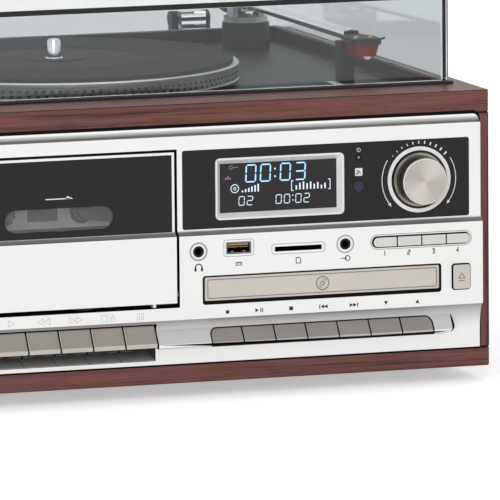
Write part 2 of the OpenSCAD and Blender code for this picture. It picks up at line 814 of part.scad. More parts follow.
module cassette_pocket() {
  deep = plate_in - 3;
  x = tape_w / 2 + 0.4;
  t = 1.8;
  color(black_c) for (s = [0, 1]) translate([door_x, 0, 0]) mirror([s, 0, 0]) union() {
    pbox(x, x + t, -deep, door_back, tape_z0 - t, tape_z0 + tape_h - 10);
    pbox(x - 20, x + t, -deep, door_back, tape_z0 - t, tape_z0);
    pbox(x - 3, x + t, -deep - t, -deep, tape_z0 - t, tape_z0 + tape_h - 10);
  }
}

// ---- piano keys ----

module piano_key(i) {
  x0 = pk_x + i * pk_pitch + pk_gap / 2;
  color(key_c) difference() {
    union() {
      xprism([[3.5, pk_z1], [pk_p, pk_z0 + 1.7], [pk_p, pk_z0], [pk_p - 1.8, pk_z0],
        [1, pk_z1 - 5.2], [-pk_in, pk_z1 - 5.2], [-pk_in, pk_z1]], x0, x0 + pk_w);
      xcyl(-pk_in, rod_z, x0, x0 + pk_w, 2 * hub_r);
    }
    xcyl(-pk_in, rod_z, x0 - 1, x0 + pk_w + 1, pk_rod + 2 * run_c);
  }
}
module key_record() piano_key(0);
module key_play() piano_key(1);
module key_rewind() piano_key(2);
module key_forward() piano_key(3);
module key_stop() piano_key(4);
module key_pause() piano_key(5);

// ---- right keys and buttons ----

module right_key(i) {
  x0 = rk_x + i * rk_pitch + rk_gap / 2;
  z0 = bar_z0 + 1.1;
  z1 = bar_z1 - 0.4;
  // the outer keys have the rounded corners of the whole row
  xa = i == 0 ? x0 : x0 - rk_w;
  xb = i == 6 ? x0 + rk_w : x0 + 2 * rk_w;
  color(key_c) union() {
    intersection() {
      xprism([[-5, z0], [bar_p, z0], [bar_p, bar_z0 + 2.4], [3.4, z1], [-5, z1]], x0, x0 + rk_w);
      crowned(xa, xb, z0 - 1, z1, -6, bar_p + 1, rk_round);
    }
    xprism([[-5.4 - 2, z0 + 2.5], [-5, z0 + 2.5], [-5, z1 - 2.5], [-5.4 - 2, z1 - 2.5]],
      x0 + rk_w / 2 - 3, x0 + rk_w / 2 + 3);
  }
}
module key_1() right_key(0);
module key_2() right_key(1);
module key_3() right_key(2);
module key_4() right_key(3);
module key_5() right_key(4);
module key_6() right_key(5);
module key_7() right_key(6);

module function_button(i) {
  pitch = fb_w / 4;
  x0 = fb_x + i * pitch + (i == 0 ? btn_gap : btn_gap / 2);
  x1 = fb_x + (i + 1) * pitch - (i == 3 ? btn_gap : btn_gap / 2);
  r = fb_h / 2 - btn_gap;
  color(beige_c) intersection() {
    yplate(fb_x + btn_gap, fb_x + fb_w - btn_gap, sock_z - r, sock_z + r, -3,
      face_p + btn_out, r - e);
    pbox(x0, x1, -4, face_p + btn_out + 1, sock_z - fb_h, sock_z + fb_h);
  }
}
module button_1() function_button(0);
module button_2() function_button(1);
module button_3() function_button(2);
module button_4() function_button(3);

module eject_button() {
  zc = tray_z + tray_h / 2;
  color(beige_c) yplate(ej_x + btn_gap, ej_x + ej_w - btn_gap, zc - ej_h / 2 + btn_gap,
    zc + ej_h / 2 - btn_gap, -3, face_p + btn_out, 1.2);
}

// turned knob: flange, waisted side, flat cap, and the shaft it is pressed on
module volume_knob() {
  r = knob_d / 2;
  f = knob_flange / 2;
  color([0.76, 0.74, 0.72]) translate([knob_x, yf - upper_p - 0.6, knob_z + foot_h])
    rotate([90, 0, 0]) union() {
      rotate_extrude() polygon([[0, 0], [f, 0], [f, 1.2], [r + 1.2, 1.8], [r + 0.2, 3],
        [r, knob_len - 0.8], [r - 0.8, knob_len], [0, knob_len]]);
      translate([0, 0, -pcb_in - 1.5]) cylinder(h = pcb_in + 2, d = shaft_d);
    }
}

// ---- disc player ----

module disc_tray() {
  len = tray_len;
  color(beige_c) difference() {
    union() {
      yplate(face_x, face_x + face_w, face_z0, face_z1, face_p - tray_front, face_p, 0.8);
      pbox(plate_x0, plate_x1, face_p - len, face_p - tray_front + e, ride_z,
        ride_z + ride_t);
      pbox(plate_x0 + 6, plate_x1 - 6, face_p - tray_front - 3, face_p - tray_front + e,
        ride_z, face_z1 - 2);
    }
    translate([disc_x, yf - face_p + disc_in, ride_z + ride_t - 1.5 + foot_h])
      cylinder(h = 12, d = disc_d);
    zplate(disc_x - 18, disc_x + 18, face_p - disc_in - 50, face_p - disc_in + 18,
      ride_z - 1, ride_z + ride_t + 1, 17.9);
  }
}

module disc_loader() {
  x0 = plate_x0 - seat_c - load_t;
  x1 = plate_x1 + seat_c + load_t;
  pr = -load_len;
  zf = ride_z - 5;
  color([0.30, 0.30, 0.31]) difference() {
    union() {
      pbox(x0, x1, pr, -1, zf - load_t, zf);
      for (s = [0, 1]) translate([disc_x, 0, 0]) mirror([s, 0, 0]) union() {
        w = (x1 - x0) / 2;
        pbox(w - load_t, w, pr, -1, zf - e, ride_z + ride_t + 7);
        pbox(w - load_t - 4, w - load_t + e, pr, -1, ride_z - seat_c - 1.6, ride_z - seat_c);
        pbox(w - load_t - 3, w - load_t + e, pr, -1, ride_z + ride_t + seat_c,
          ride_z + ride_t + seat_c + 1.6);
        for (p = [-pcb_in - 12, pr + 12])
          pbox(w - 8, w, p - 4, p + 4, bottom_t, zf - load_t + e);
      }
      // clamp bridge with its magnet disc
      pbox(x0, x1, face_p - disc_in - 14, face_p - disc_in + 14, ride_z + ride_t + 6.5,
        ride_z + ride_t + 8.5);
      zcyl(disc_x, face_p - disc_in, ride_z + ride_t + 1.5, ride_z + ride_t + 7, 30);
      // spindle motor with its hub, and the pickup sled behind it
      zcyl(disc_x, face_p - disc_in, zf - e, ride_z - 1, 20);
      pbox(disc_x - 12, disc_x + 12, face_p - disc_in - 42, face_p - disc_in - 18, zf - e,
        ride_z - 1);
    }
  }
}

// ---- boards ----

// push switch behind a key: body that ends just behind the key's stem
module switch(x, z, gap_p) { pbox(x - 3, x + 3, -pcb_in - e, gap_p, z - 3, z + 3); }

module front_board() {
  p0 = -pcb_in - pcb_t;
  z0 = sock_z - 7;
  z1 = blk_z1;
  notch = card_w / 2 + 2.5;
  color(green_c) difference() {
    union() {
      pbox(blk_x0 + 4.4, blk_x1, p0, -pcb_in, z0, z1);
      pbox(disp_x - lens_w / 2 + 1, disp_x + lens_w / 2 - 1, -pcb_in - e,
        lens_p - lens_t - 0.1, disp_z - lens_h / 2 + 1, disp_z + lens_h / 2 - 1);
      pbox(knob_x - 6.5, knob_x + 6.5, -pcb_in - e, -3, knob_z - 6.5, knob_z + 6.5);
      ycyl(knob_x, knob_z, -3 - e, upper_p, shaft_d + 2);
      for (i = [0:3]) switch(fb_x + (i + 0.5) * fb_w / 4, sock_z, -3 - btn_travel - 0.1);
      for (x = [blk_x0 + 8, blk_x1 - 4]) ycyl(x, blk_z1 - 5, -pcb_in - e, 0, 5);
    }
    ycyl(knob_x, knob_z, -pcb_in - 3, upper_p + 1, shaft_d + 2 * run_c);
    pbox(card_x - notch, card_x + notch, p0 - 1, -pcb_in + 0.5, z0 - 1, sock_z + 3);
  }
  // key board behind the right keys, with the eject button's switch on a tall tab
  ez = tray_z + tray_h / 2;
  color(green_c) union() {
    pbox(rk_x - 6, bar_x1 + 12, p0, -pcb_in, panel_z0 + 1, pk_z1);
    pbox(ej_x, bar_x1 + 12, p0, -pcb_in, pk_z1 - e, ez + 6);
    switch(ej_x + ej_w / 2, ez, -3 - btn_travel - 0.1);
    for (i = [0:6]) switch(rk_x + (i + 0.5) * rk_pitch, (bar_z0 + bar_z1) / 2,
      -7.4 - btn_travel - 0.1);
    for (x = [rk_x - 3, bar_x1 + 8]) ycyl(x, panel_z0 + 5, -pcb_in - e, 0, 5);
  }
}

module main_board() {
  x0 = -inner_x + 8;
  p1 = -load_len - 9;
  z = bottom_t + 7;
  color(green_c) union() {
    pbox(x0, x0 + main_w, p1 - main_l, p1, z, z + pcb_t);
    for (x = [x0 + 6, x0 + main_w - 6], p = [p1 - 6, p1 - main_l + 6])
      zcyl(x, p, bottom_t, z + e, 7);
    // capacitors and chips
    for (i = [0:3]) zcyl(x0 + 20 + i * 22, p1 - 24, z + pcb_t - e, z + 24, 16);
    for (i = [0:2]) pbox(x0 + 16 + i * 32, x0 + 36 + i * 32, p1 - 72, p1 - 56,
      z + pcb_t - e, z + 4);
  }
  // heat sink
  color(steel_c) union() {
    pbox(x0 + 90, x0 + 140, p1 - 90, p1 - 86, z + pcb_t, z + 40);
    for (i = [0:8]) pbox(x0 + 90 + i * 6, x0 + 92 + i * 6, p1 - 104, p1 - 90 + e,
      z + pcb_t, z + 40);
  }
}

module transformer() {
  x0 = inner_x - 14 - trafo_w;
  p1 = -210;
  l = 50;
  z = bottom_t;
  color([0.35, 0.30, 0.26]) union() {
    pbox(x0 - 8, x0 + trafo_w + 8, p1 - l / 2 - 8, p1 - l / 2 + 8, z, z + 2);
    pbox(x0, x0 + trafo_w, p1 - l / 2 - 11, p1 - l / 2 + 11, z, z + trafo_h);
    pbox(x0 + 12, x0 + trafo_w - 12, p1 - l, p1, z + 11, z + trafo_h - 11);
  }
}

// ---- turntable ----

module turntable_deck() {
  ax = arm_x;
  ap = -arm_in;
  x = deck_x - seat_c;
  q0 = -(cab_d - rim_rear) + seat_c;
  q1 = -rim_front - seat_c;
  color([0.13, 0.13, 0.14]) difference() {
    union() {
      pbox(-x, x, q0, q1, deck_z - deck_t, rim_z);
      pbox(-x - 4, x + 4, q0 - 4, q1 + 4, top_z, rim_z);
    }
    pbox(-x + deck_t, x - deck_t, q0 + deck_t, q1 - deck_t, deck_z, rim_z + 1);
    zcyl(spin_x, -spin_in, deck_z - 10, deck_z + 10, 14 + 0.4);
    zcyl(speed_x, -speed_in, deck_z - 10, deck_z + 10, 5 + 2 * run_c);
    zcyl(ax, ap, deck_z - 10, deck_z + 1, 14);
  }
  color([0.16, 0.16, 0.17]) difference() {
    union() {
      zcyl(ax, ap, deck_z - deck_t, deck_z + e, 14);
      zcyl(ax, ap, deck_z, deck_z + tower_h, arm_base);
      // arm rest: flat-topped post just under the tube
      pbox(ax - 4, ax + 4, ap + rest_l - 4, ap + rest_l + 4, deck_z,
        arm_z - tube_d / 2 - seat_c);
    }
    zcyl(ax, ap, deck_z - 10, deck_z + tower_h + 1, 5 + 2 * run_c);
  }
}

module platter_motor() {
  z1 = deck_z - deck_t;
  color(steel_c) difference() {
    union() {
      zcyl(spin_x, -spin_in, z1 - motor_h, z1, motor_d);
      zcyl(spin_x, -spin_in, z1 - e, plat_z0 - 0.2, 14);
    }
    zcyl(spin_x, -spin_in, z1 - motor_h + 3, plat_z0 + 1, bear_d + 2 * run_c);
  }
}

module platter() {
  color([0.62, 0.62, 0.64]) translate([spin_x, yf + spin_in, foot_h]) union() {
    rotate_extrude($fn = 96) polygon([[0, plat_z1 - 4], [0, plat_z1],
      [plat_d / 2 - 0.8, plat_z1], [plat_d / 2, plat_z1 - 0.8], [plat_d / 2, plat_z0],
      [plat_d / 2 - 3.5, plat_z0], [plat_d / 2 - 3.5, plat_z1 - 4]]);
    translate([0, 0, deck_z - deck_t - motor_h + 3.4])
      cylinder(h = plat_z1 - 3.9 - deck_z + deck_t + motor_h - 3.4, d = bear_d);
    translate([0, 0, plat_z1 - e]) cylinder(h = mat_t + e, d = shoulder_d);
    translate([0, 0, mat_z1 - e]) cylinder(h = spin_up - 1 + e, d = spin_d);
    translate([0, 0, mat_z1 + spin_up - 1 - e]) cylinder(h = 1 + e, d1 = spin_d, d2 = spin_d - 2);
  }
}

module platter_mat() {
  color([0.20, 0.20, 0.21]) difference() {
    zcyl(spin_x, -spin_in, plat_z1, mat_z1, plat_d - 6);
    zcyl(spin_x, -spin_in, plat_z1 - 1, mat_z1 + 1, shoulder_d + 2 * seat_c);
  }
}

module arm_carrier() {
  z0 = deck_z + tower_h + 0.3;
  color([0.30, 0.30, 0.32]) union() {
    zcyl(arm_x, -arm_in, z0, z0 + 3, arm_base - 2);
    zcyl(arm_x, -arm_in, deck_z - deck_t, z0 + e, 5);
    for (s = [-1, 1]) difference() {
      pbox(arm_x + s * 7.5 - 1.5, arm_x + s * 7.5 + 1.5, -arm_in - 5, -arm_in + 5, z0 + 3 - e,
        arm_z + 4);
      xcyl(-arm_in, arm_z, arm_x - 12, arm_x + 12, 2 + 2 * run_c);
    }
  }
}

module tonearm() {
  p = -arm_in;
  color([0.80, 0.80, 0.82]) union() {
    ycyl(arm_x, arm_z, p + 4, p + arm_len, tube_d);
    pbox(arm_x - 4.5, arm_x + 4.5, p - 6, p + 6, arm_z - 5, arm_z + 5);
    xcyl(p, arm_z, arm_x - 9, arm_x + 9, 2);
    ycyl(arm_x, arm_z, p - 14, p - 5, 6);
    ycyl(arm_x, arm_z, p - 14 - weight_l, p - 14 + e, weight_d);
  }
}

module headshell() {
  p = -arm_in + arm_len;
  color([0.18, 0.18, 0.19]) union() {
    hull() {
      pbox(arm_x - 4, arm_x + 4, p, p + 2, arm_z - 2.5, arm_z + 2.5);
      pbox(arm_x - 8, arm_x + 8, p + 12, p + 28, arm_z - 2.5, arm_z + 1);
    }
    pbox(arm_x - 7, arm_x + 7, p + 10, p + 27, arm_z - 9, arm_z - 2.5 + e);
    pbox(arm_x - 2.2, arm_x + 2.2, p + 18, p + 28, arm_z - 10.5, arm_z - 9 + e);
    pbox(arm_x + 8 - e, arm_x + 12, p + 18, p + 20, arm_z - 1.5, arm_z + 0.5);
  }
}

module speed_lever() {
  z = deck_z + 0.3;
  color(steel_c) union() {
    zcyl(speed_x, -speed_in, deck_z - deck_t, z + e, 5);
    zcyl(speed_x, -speed_in, z, z + 4, 16);
    pbox(speed_x - 2.5, speed_x + 2.5, -speed_in, -speed_in + 15, z + 1, z + 7);
  }
}

// ---- dust cover ----

module dust_cover() {
  color([0.5, 0.5, 0.55, 0.4]) difference() {
    union() {
      zplate(-cover_x, cover_x, cover_p1, cover_p0, cover_z0, cover_z0 + cover_h, 3);
      for (s = [-1, 1]) {
        x = s * hinge_gap / 2;
        pbox(x - lug_w / 2, x + lug_w / 2, pivot_p, cover_p1 + cover_t, pivot_z - eye_r,
          pivot_z + eye_r);
        xcyl(pivot_p, pivot_z, x - lug_w / 2, x + lug_w / 2, 2 * eye_r);
      }
    }
    zplate(-cover_x + cover_t, cover_x - cover_t, cover_p1 + cover_t, cover_p0 - cover_t,
      cover_z0 - 1, cover_z0 + cover_h - cover_t, 1.5);
    xcyl(pivot_p, pivot_z, -hinge_gap, hinge_gap, hinge_pin + 2 * run_c);
  }
}

module cover_hinges() {
  out = cheek_w + seat_c + lug_w / 2;
  color(black_c) for (s = [-1, 1]) translate([s * hinge_gap / 2, 0, 0]) union() {
    pbox(-out, out, -cab_d - 2, -cab_d, panel_z1 - 8, pivot_z - eye_r - 0.4);
    for (t = [-1, 1]) {
      a = min(t * (out - cheek_w), t * out);
      b = max(t * (out - cheek_w), t * out);
      xcyl(pivot_p, pivot_z, a, b, 2 * eye_r);
      pbox(a, b, pivot_p - eye_r + 2, -cab_d, panel_z1 - 8, pivot_z - 1);
    }
    xcyl(pivot_p, pivot_z, -out, out, hinge_pin);
  }
}

// ---- rear ----

module rear_terminals() {
  y = -cab_d;
  color([0.22, 0.22, 0.23]) difference() {
    union() {
      pbox(term_x - 43.7, term_x + 43.7, y - 2, y + 14, term_z - 16.7, term_z + 16.7);
      for (i = [0:3]) pbox(term_x - 38 + i * 12, term_x - 30 + i * 12, y - 5, y - 2 + e,
        term_z + 2, term_z + 12);
      for (i = [0:1]) ycyl(term_x + 22 + i * 14, term_z, y - 8, y - 2 + e, line_d);
      ycyl(aerial_x, term_z, y - 8, y + 4, 8.6);
      pbox(aerial_x - 6, aerial_x + 6, y + rear_t, y + 8, term_z - 6, term_z + 6);
    }
    for (i = [0:3]) ycyl(term_x - 34 + i * 12, term_z - 6, y - 3, y + 6, 3);
    for (i = [0:1]) ycyl(term_x + 22 + i * 14, term_z, y - 9, y + 4, 3.2);
    ycyl(aerial_x, term_z, y - 9, y, 3);
  }
}

module mains_inlet() {
  y = -cab_d;
  color(black_c) difference() {
    union() {
      yplate(inlet_x - 13, inlet_x + 13, inlet_z - 8, inlet_z + 8, y - 2, y, 1.5);
      yplate(inlet_x - 10.8, inlet_x + 10.8, inlet_z - 5.8, inlet_z + 5.8, y - e, y + 16, 1);
    }
    yplate(inlet_x - 7.4, inlet_x + 7.4, inlet_z - 3.8, inlet_z + 3.8, y - 3, y + 12, 3.7);
  }
  color(steel_c) for (s = [-1, 1]) ycyl(inlet_x + s * 4.3, inlet_z, y + 2, y + 12 + e, 2.4);
}

side_boards();
top_frame();
bottom_board();
rear_panel();
feet();
front_panel();
display_panel();
display_frame();
display_lens();
knob_ring();
status_lamp();
remote_window();
key_well();
deck_plate();
jack_sockets();
usb_socket();
card_socket();
disc_loader();
front_board();
main_board();
transformer();
turntable_deck();
platter_motor();
rear_terminals();
mains_inlet();
cover_hinges();
cassette_door();
door_panel();
door_window();
cassette_pocket();
reel_left();
reel_right();
flywheel();
key_record();
key_play();
key_rewind();
key_forward();
key_stop();
key_pause();
disc_tray();
key_1();
key_2();
key_3();
key_4();
key_5();
key_6();
key_7();
button_1();
button_2();
button_3();
button_4();
eject_button();
volume_knob();
platter();
platter_mat();
arm_carrier();
tonearm();
headshell();
speed_lever();
dust_cover();
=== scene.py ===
import math
import bpy
import bmesh
from bpy.props import FloatProperty, FloatVectorProperty, IntProperty, PointerProperty
from mathutils import Matrix, Vector


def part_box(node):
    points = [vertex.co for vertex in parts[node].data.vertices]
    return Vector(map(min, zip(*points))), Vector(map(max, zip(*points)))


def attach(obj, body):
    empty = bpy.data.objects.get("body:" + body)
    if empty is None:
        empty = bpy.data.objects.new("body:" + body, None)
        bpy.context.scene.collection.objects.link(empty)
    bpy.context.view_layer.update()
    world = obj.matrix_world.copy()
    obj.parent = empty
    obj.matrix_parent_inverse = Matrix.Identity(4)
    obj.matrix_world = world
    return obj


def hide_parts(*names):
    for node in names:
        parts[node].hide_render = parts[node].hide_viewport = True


bl_info = {
    "name": "Stereo Music Centre",
    "version": (1, 0, 0),
    "blender": (4, 5, 0),
    "location": "3D View > Sidebar > Music Centre",
    "description": "Finishes and fine parts of a wood cased music centre with cassette, disc and turntable",
    "category": "Add Mesh",
}

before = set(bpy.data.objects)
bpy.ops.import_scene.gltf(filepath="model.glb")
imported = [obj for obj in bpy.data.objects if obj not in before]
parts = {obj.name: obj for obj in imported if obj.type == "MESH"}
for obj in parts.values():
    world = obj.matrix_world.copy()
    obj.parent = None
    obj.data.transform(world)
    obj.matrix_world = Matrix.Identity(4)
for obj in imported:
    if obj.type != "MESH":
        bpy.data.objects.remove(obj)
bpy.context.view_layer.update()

MM = 0.001
WOOD_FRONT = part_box("bottom_board")[0].y
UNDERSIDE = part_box("bottom_board")[0].z

# reach of the front's faces and heights of its forms, in millimetres
FACE = 7.2
UPPER = 4.0
STRIP_H = 4.0
KEY_LIP_TOP = 21.8
KEY_BAR_SLOPE = 0.7465
COVE = (19.5, 34.2)
LEDGE = (77.3, 79.8)
WELL_PLATE = [(1.4, 12.85), (1.4, 13.1), (-16.0, 17.0), (-16.0, 16.7)]

# places behind the cassette door, on the deck and at the rear, in millimetres
DOOR_MIDDLE = -74.7
TAPE_PLATE = -27
REEL_OUT = 21.25
DECK_TOP = 138.9
REAR = -320


def at(x, reach, height):
    """Point from X, reach in front of the wood and height over the underside, all in millimetres."""
    return Vector((x * MM, WOOD_FRONT - reach * MM, UNDERSIDE + height * MM))


def span(node):
    """A node's box as x0, x1, reach0, reach1, height0, height1 in millimetres."""
    lo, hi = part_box(node)
    return (lo.x / MM, hi.x / MM, (WOOD_FRONT - hi.y) / MM, (WOOD_FRONT - lo.y) / MM,
            (lo.z - UNDERSIDE) / MM, (hi.z - UNDERSIDE) / MM)


def mid_x(node):
    """Middle of a node across the front, in millimetres."""
    x0, x1 = span(node)[:2]
    return (x0 + x1) / 2


def linear(colour):
    """sRGB 0-255 numbers as a linear RGBA colour."""
    out = []
    for c in colour:
        c /= 255
        out.append(c / 12.92 if c <= 0.04045 else ((c + 0.055) / 1.055) ** 2.4)
    return (*out, 1.0)


# ---------------------------------------------------------------- settings

def colour_prop(name, description, default):
    return FloatVectorProperty(name=name, description=description, default=linear(default)[:3],
                               size=3, min=0, max=1, subtype="COLOR")


def length_prop(name, description, default):
    return FloatProperty(name=name, description=description, default=default * MM, min=0,
                         precision=5, unit="LENGTH", subtype="DISTANCE")


class CabinetSettings(bpy.types.PropertyGroup):
    """Wood and panel finishes"""
    veneer: colour_prop("Veneer", "Middle tone of the wood veneer", (115, 73, 68))
    veneer_dark: colour_prop("Veneer streaks", "Dark streaks of the wood veneer", (68, 44, 42))
    silver: colour_prop("Silver", "Satin silver paint of the front", (250, 250, 248))
    black: colour_prop("Black", "Moulded black plastic", (38, 37, 37))
    wood_edge: length_prop("Wood edge", "Rounding of the wood's edges", 0.9)
    panel_edge: length_prop("Panel edge", "Rounding of the front panel's edges", 0.25)


class FrontSettings(bpy.types.PropertyGroup):
    """Finishes and sizes of the front's small parts"""
    gloss: colour_prop("Gloss black", "Black display panels", (24, 23, 23))
    piano: colour_prop("Piano keys", "Six cassette keys", (155, 148, 142))
    taupe: colour_prop("Right keys", "Seven keys under the drawer", (144, 138, 134))
    beige: colour_prop("Drawer", "Drawer front", (207, 201, 193))
    button: colour_prop("Buttons", "Four function buttons", (219, 216, 210))
    cap: colour_prop("Knob", "Brushed aluminium of the knob", (214, 207, 200))
    glow: colour_prop("Display glow", "Lit segments of the display", (146, 200, 236))
    ink: colour_prop("Ink", "Printed symbols on silver", (34, 32, 32))
    key_edge: length_prop("Key edge", "Rounding of keys and buttons", 0.3)
    dish: length_prop("Key dish", "Depth of the hollow in a piano key", 0.8)
    mark: length_prop("Print height", "Thickness of printed symbols", 0.05)


class TurntableSettings(bpy.types.PropertyGroup):
    """Sizes of the turntable's fine parts"""
    grooves: IntProperty(name="Mat grooves", description="Rings moulded in the mat", default=15, min=4,
                         max=30)
    dots: IntProperty(name="Strobe dots", description="Dots in one row round the platter", default=132,
                      min=40, max=200)
    cover: colour_prop("Cover", "Tint of the clear cover", (238, 242, 243))


class StageSettings(bpy.types.PropertyGroup):
    """Camera and light"""
    lens: FloatProperty(name="Lens", description="Focal length of the camera", default=570.08, min=10,
                        unit="CAMERA")
    distance: FloatProperty(name="Distance", description="Camera to target", default=4.08, min=0.5,
                            unit="LENGTH", subtype="DISTANCE")
    turn: FloatProperty(name="Turn", description="Camera to the left of the front", subtype="ANGLE",
                        default=math.radians(18.157))
    tilt: FloatProperty(name="Tilt", description="Camera above the level", subtype="ANGLE",
                        default=math.radians(7.981))
    roll: FloatProperty(name="Roll", description="Roll of the camera", subtype="ANGLE",
                        default=math.radians(-0.469))
    floor: colour_prop("Floor", "Pale floor", (244, 244, 245))
    floor_lift: FloatProperty(name="Floor lift", description="Added white on the floor as the camera sees it",
                              default=0.45, min=0)
    floor_gloss: FloatProperty(name="Floor in gloss",
                               description="Added white on the floor as gloss shows it",
                               default=0.13, min=0)
    fill: FloatProperty(name="Fill", description="Even light on matt surfaces", default=0.86, min=0)
    key: FloatProperty(name="Key light", description="Power of the large soft lamp in watts", default=30,
                       min=0)


# ---------------------------------------------------------------- shader helpers

def new_finish(name, colour, rough, metal=0.0, **sockets):
    """Material with a Principled shader whose even values are set on its sockets."""
    m = bpy.data.materials.new(name)
    m.use_nodes = True
    b = m.node_tree.nodes["Principled BSDF"]
    b.inputs["Base Color"].default_value = colour
    b.inputs["Roughness"].default_value = rough
    b.inputs["Metallic"].default_value = metal
    for k, v in sockets.items():
        b.inputs[k.replace("_", " ")].default_value = v
    m.diffuse_color = colour
    return m


def plug(m, slot, value):
    """Links an output to an input, or sets the input's own value."""
    if isinstance(value, bpy.types.NodeSocket):
        m.node_tree.links.new(value, slot)
    else:
        slot.default_value = value


def add_node(m, kind, **values):
    """New node; the values are its settings, or outputs and numbers for its named inputs."""
    n = m.node_tree.nodes.new("ShaderNode" + kind)
    for k, v in values.items():
        if hasattr(n, k) and k not in n.inputs:
            setattr(n, k, v)
        else:
            plug(m, n.inputs[k.replace("_", " ")], v)
    return n


def maths(m, operation, *terms, kind="Math"):
    """Result of a Math or VectorMath node; each term is an output or a value."""
    n = add_node(m, kind, operation=operation)
    for slot, term in zip(n.inputs, terms):
        plug(m, slot, term)
    return n.outputs["Value" if operation == "LENGTH" else 0]


def mixed(m, share, a, b, blend_type="MIX"):
    """Colour b over colour a; the share and both colours are outputs or values."""
    n = add_node(m, "Mix", data_type="RGBA", blend_type=blend_type)
    slots = [n.inputs["Factor"]] + [i for i in n.inputs if i.type == "RGBA"]
    for slot, value in zip(slots, (share, a, b)):
        plug(m, slot, value)
    return next(o for o in n.outputs if o.type == "RGBA")


def noise(m, scale, detail=2, **values):
    """Noise over the object, whose coordinates in metres are scaled per axis."""
    where = add_node(m, "TexCoord").outputs["Object"]
    vector = add_node(m, "Mapping", Vector=where, Scale=scale).outputs["Vector"]
    return add_node(m, "TexNoise", Vector=vector, Scale=1, Detail=detail, **values).outputs["Fac"]


def shade(c, f):
    return (min(1, c[0] * f), min(1, c[1] * f), min(1, c[2] * f), 1)


def ramp(m, fac, stops):
    n = add_node(m, "ValToRGB", Fac=fac)
    r = n.color_ramp
    while len(r.elements) < len(stops):
        r.elements.new(0.5)
    for e, (pos, col) in zip(r.elements, stops):
        e.position = pos
        e.color = col if len(col) == 4 else (*col, 1)
    return n.outputs["Color"]


def feed(m, out, name):
    m.node_tree.links.new(out, m.node_tree.nodes["Principled BSDF"].inputs[name])


def tones(m, fac, colour, low, high):
    """Base colour that drifts between two shares of a colour."""
    feed(m, ramp(m, fac, [(0.3, shade(colour, low)), (0.7, shade(colour, high))]), "Base Color")


def bump(m, height, strength, distance):
    feed(m, add_node(m, "Bump", Height=height, Strength=strength, Distance=distance).outputs["Normal"],
         "Normal")


def gloss(m, fac, low, high):
    """Roughness that follows a pattern between two values."""
    feed(m, add_node(m, "MapRange", Value=fac, To_Min=low, To_Max=high).outputs["Result"], "Roughness")


def moulded(name, colour, rough, vary=0.06, grain=900, relief=0.00004, metal=0.0, spread=0.08, **sockets):
    """Moulded or painted surface: fine grain in the height, slow drift in colour and gloss."""
    m = new_finish(name, colour, rough, metal, **sockets)
    fine = noise(m, (grain,) * 3, 3, Roughness=0.55)
    tones(m, noise(m, (26, 31, 28)), colour, 1 - vary, 1 + vary)
    gloss(m, fine, max(0.02, rough - spread), min(1, rough + spread))
    bump(m, fine, 0.35, relief)
    return m


def veneer(name, axis):
    """Wood veneer with its grain along one axis (0, 1 or 2)."""
    mid, dark = tone("mc_cabinet.veneer"), tone("mc_cabinet.veneer_dark")
    m = new_finish(name, mid, 0.45, Specular_IOR_Level=0.2)

    def stretched(with_grain, across, detail, twist):
        scale = [across] * 3
        scale[axis] = with_grain
        return noise(m, scale, detail, Roughness=0.6, Distortion=twist)

    streak = stretched(26, 1150, 5, 0.15)
    band = stretched(5, 210, 3, 0.35)
    pore = stretched(80, 2400, 2, 0.1)
    both = maths(m, "MULTIPLY_ADD", streak, 0.5, maths(m, "MULTIPLY", band, 0.55))
    grain = ramp(m, both, [(0.38, dark), (0.46, shade(mid, 0.8)), (0.53, mid), (0.66, shade(mid, 1.28))])
    holes = ramp(m, pore, [(0.32, (0.5, 0.5, 0.52)), (0.44, (1, 1, 1))])
    feed(m, mixed(m, 0.8, grain, holes, "MULTIPLY"), "Base Color")
    gloss(m, streak, 0.34, 0.5)
    bump(m, pore, 0.3, 0.00005)
    return m


def brushed(name, colour, rough, scale):
    """Brushed metal: scale stretches the fine lines along one axis."""
    m = new_finish(name, colour, rough, 1.0)
    line = noise(m, scale, 4, Roughness=0.7)
    tones(m, line, colour, 0.86, 1.08)
    gloss(m, line, max(0.05, rough - 0.09), rough + 0.1)
    bump(m, line, 0.25, 0.00002)
    return m


def turned(name, colour, rough, centre, axis, rings, fan=0.0, **sockets):
    """Face-turned metal: fine rings round a centre, and a fan of light and dark sectors that paint its
    highlights.
    """
    m = new_finish(name, colour, rough, 1.0, **sockets)
    keep = [1, 1, 1]
    keep[axis] = 0
    off = maths(m, "SUBTRACT", add_node(m, "TexCoord").outputs["Object"], centre, kind="VectorMath")
    flat = maths(m, "MULTIPLY", off, keep, kind="VectorMath")
    radius = maths(m, "MULTIPLY", maths(m, "LENGTH", flat, kind="VectorMath"), rings)
    line = add_node(m, "TexNoise", noise_dimensions="1D", W=radius, Scale=1, Detail=3,
                    Roughness=0.7).outputs["Fac"]
    face = ramp(m, line, [(0.3, shade(colour, 0.88)), (0.7, shade(colour, 1.06))])
    feed(m, sectors(m, face, flat, fan) if fan else face, "Base Color")
    bump(m, line, 0.2, 0.00002)
    feed(m, add_node(m, "Tangent", direction_type="RADIAL", axis="XYZ"[axis]).outputs["Tangent"], "Tangent")
    return m


def sectors(m, face, flat, strength):
    """Painted highlight and shade in light and dark sectors round the centre of a turned face that looks
    forward, with fine streaks.
    """
    axes = add_node(m, "SeparateXYZ", Vector=flat).outputs
    angle = maths(m, "ARCTAN2", axes["Z"], axes["X"])
    fine = maths(m, "MULTIPLY", angle, 16)
    streak = add_node(m, "TexNoise", noise_dimensions="1D", W=fine, Scale=1, Detail=2).outputs["Fac"]
    wave = maths(m, "COSINE", maths(m, "MULTIPLY_ADD", angle, 2, -2 * math.radians(60)))
    both = maths(m, "MULTIPLY_ADD", wave, 0.35, streak)
    gain = add_node(m, "MapRange", Value=both, To_Min=1 - 1.6 * strength,
                    To_Max=1 + strength).outputs["Result"]
    return maths(m, "MULTIPLY", face, gain, kind="VectorMath")


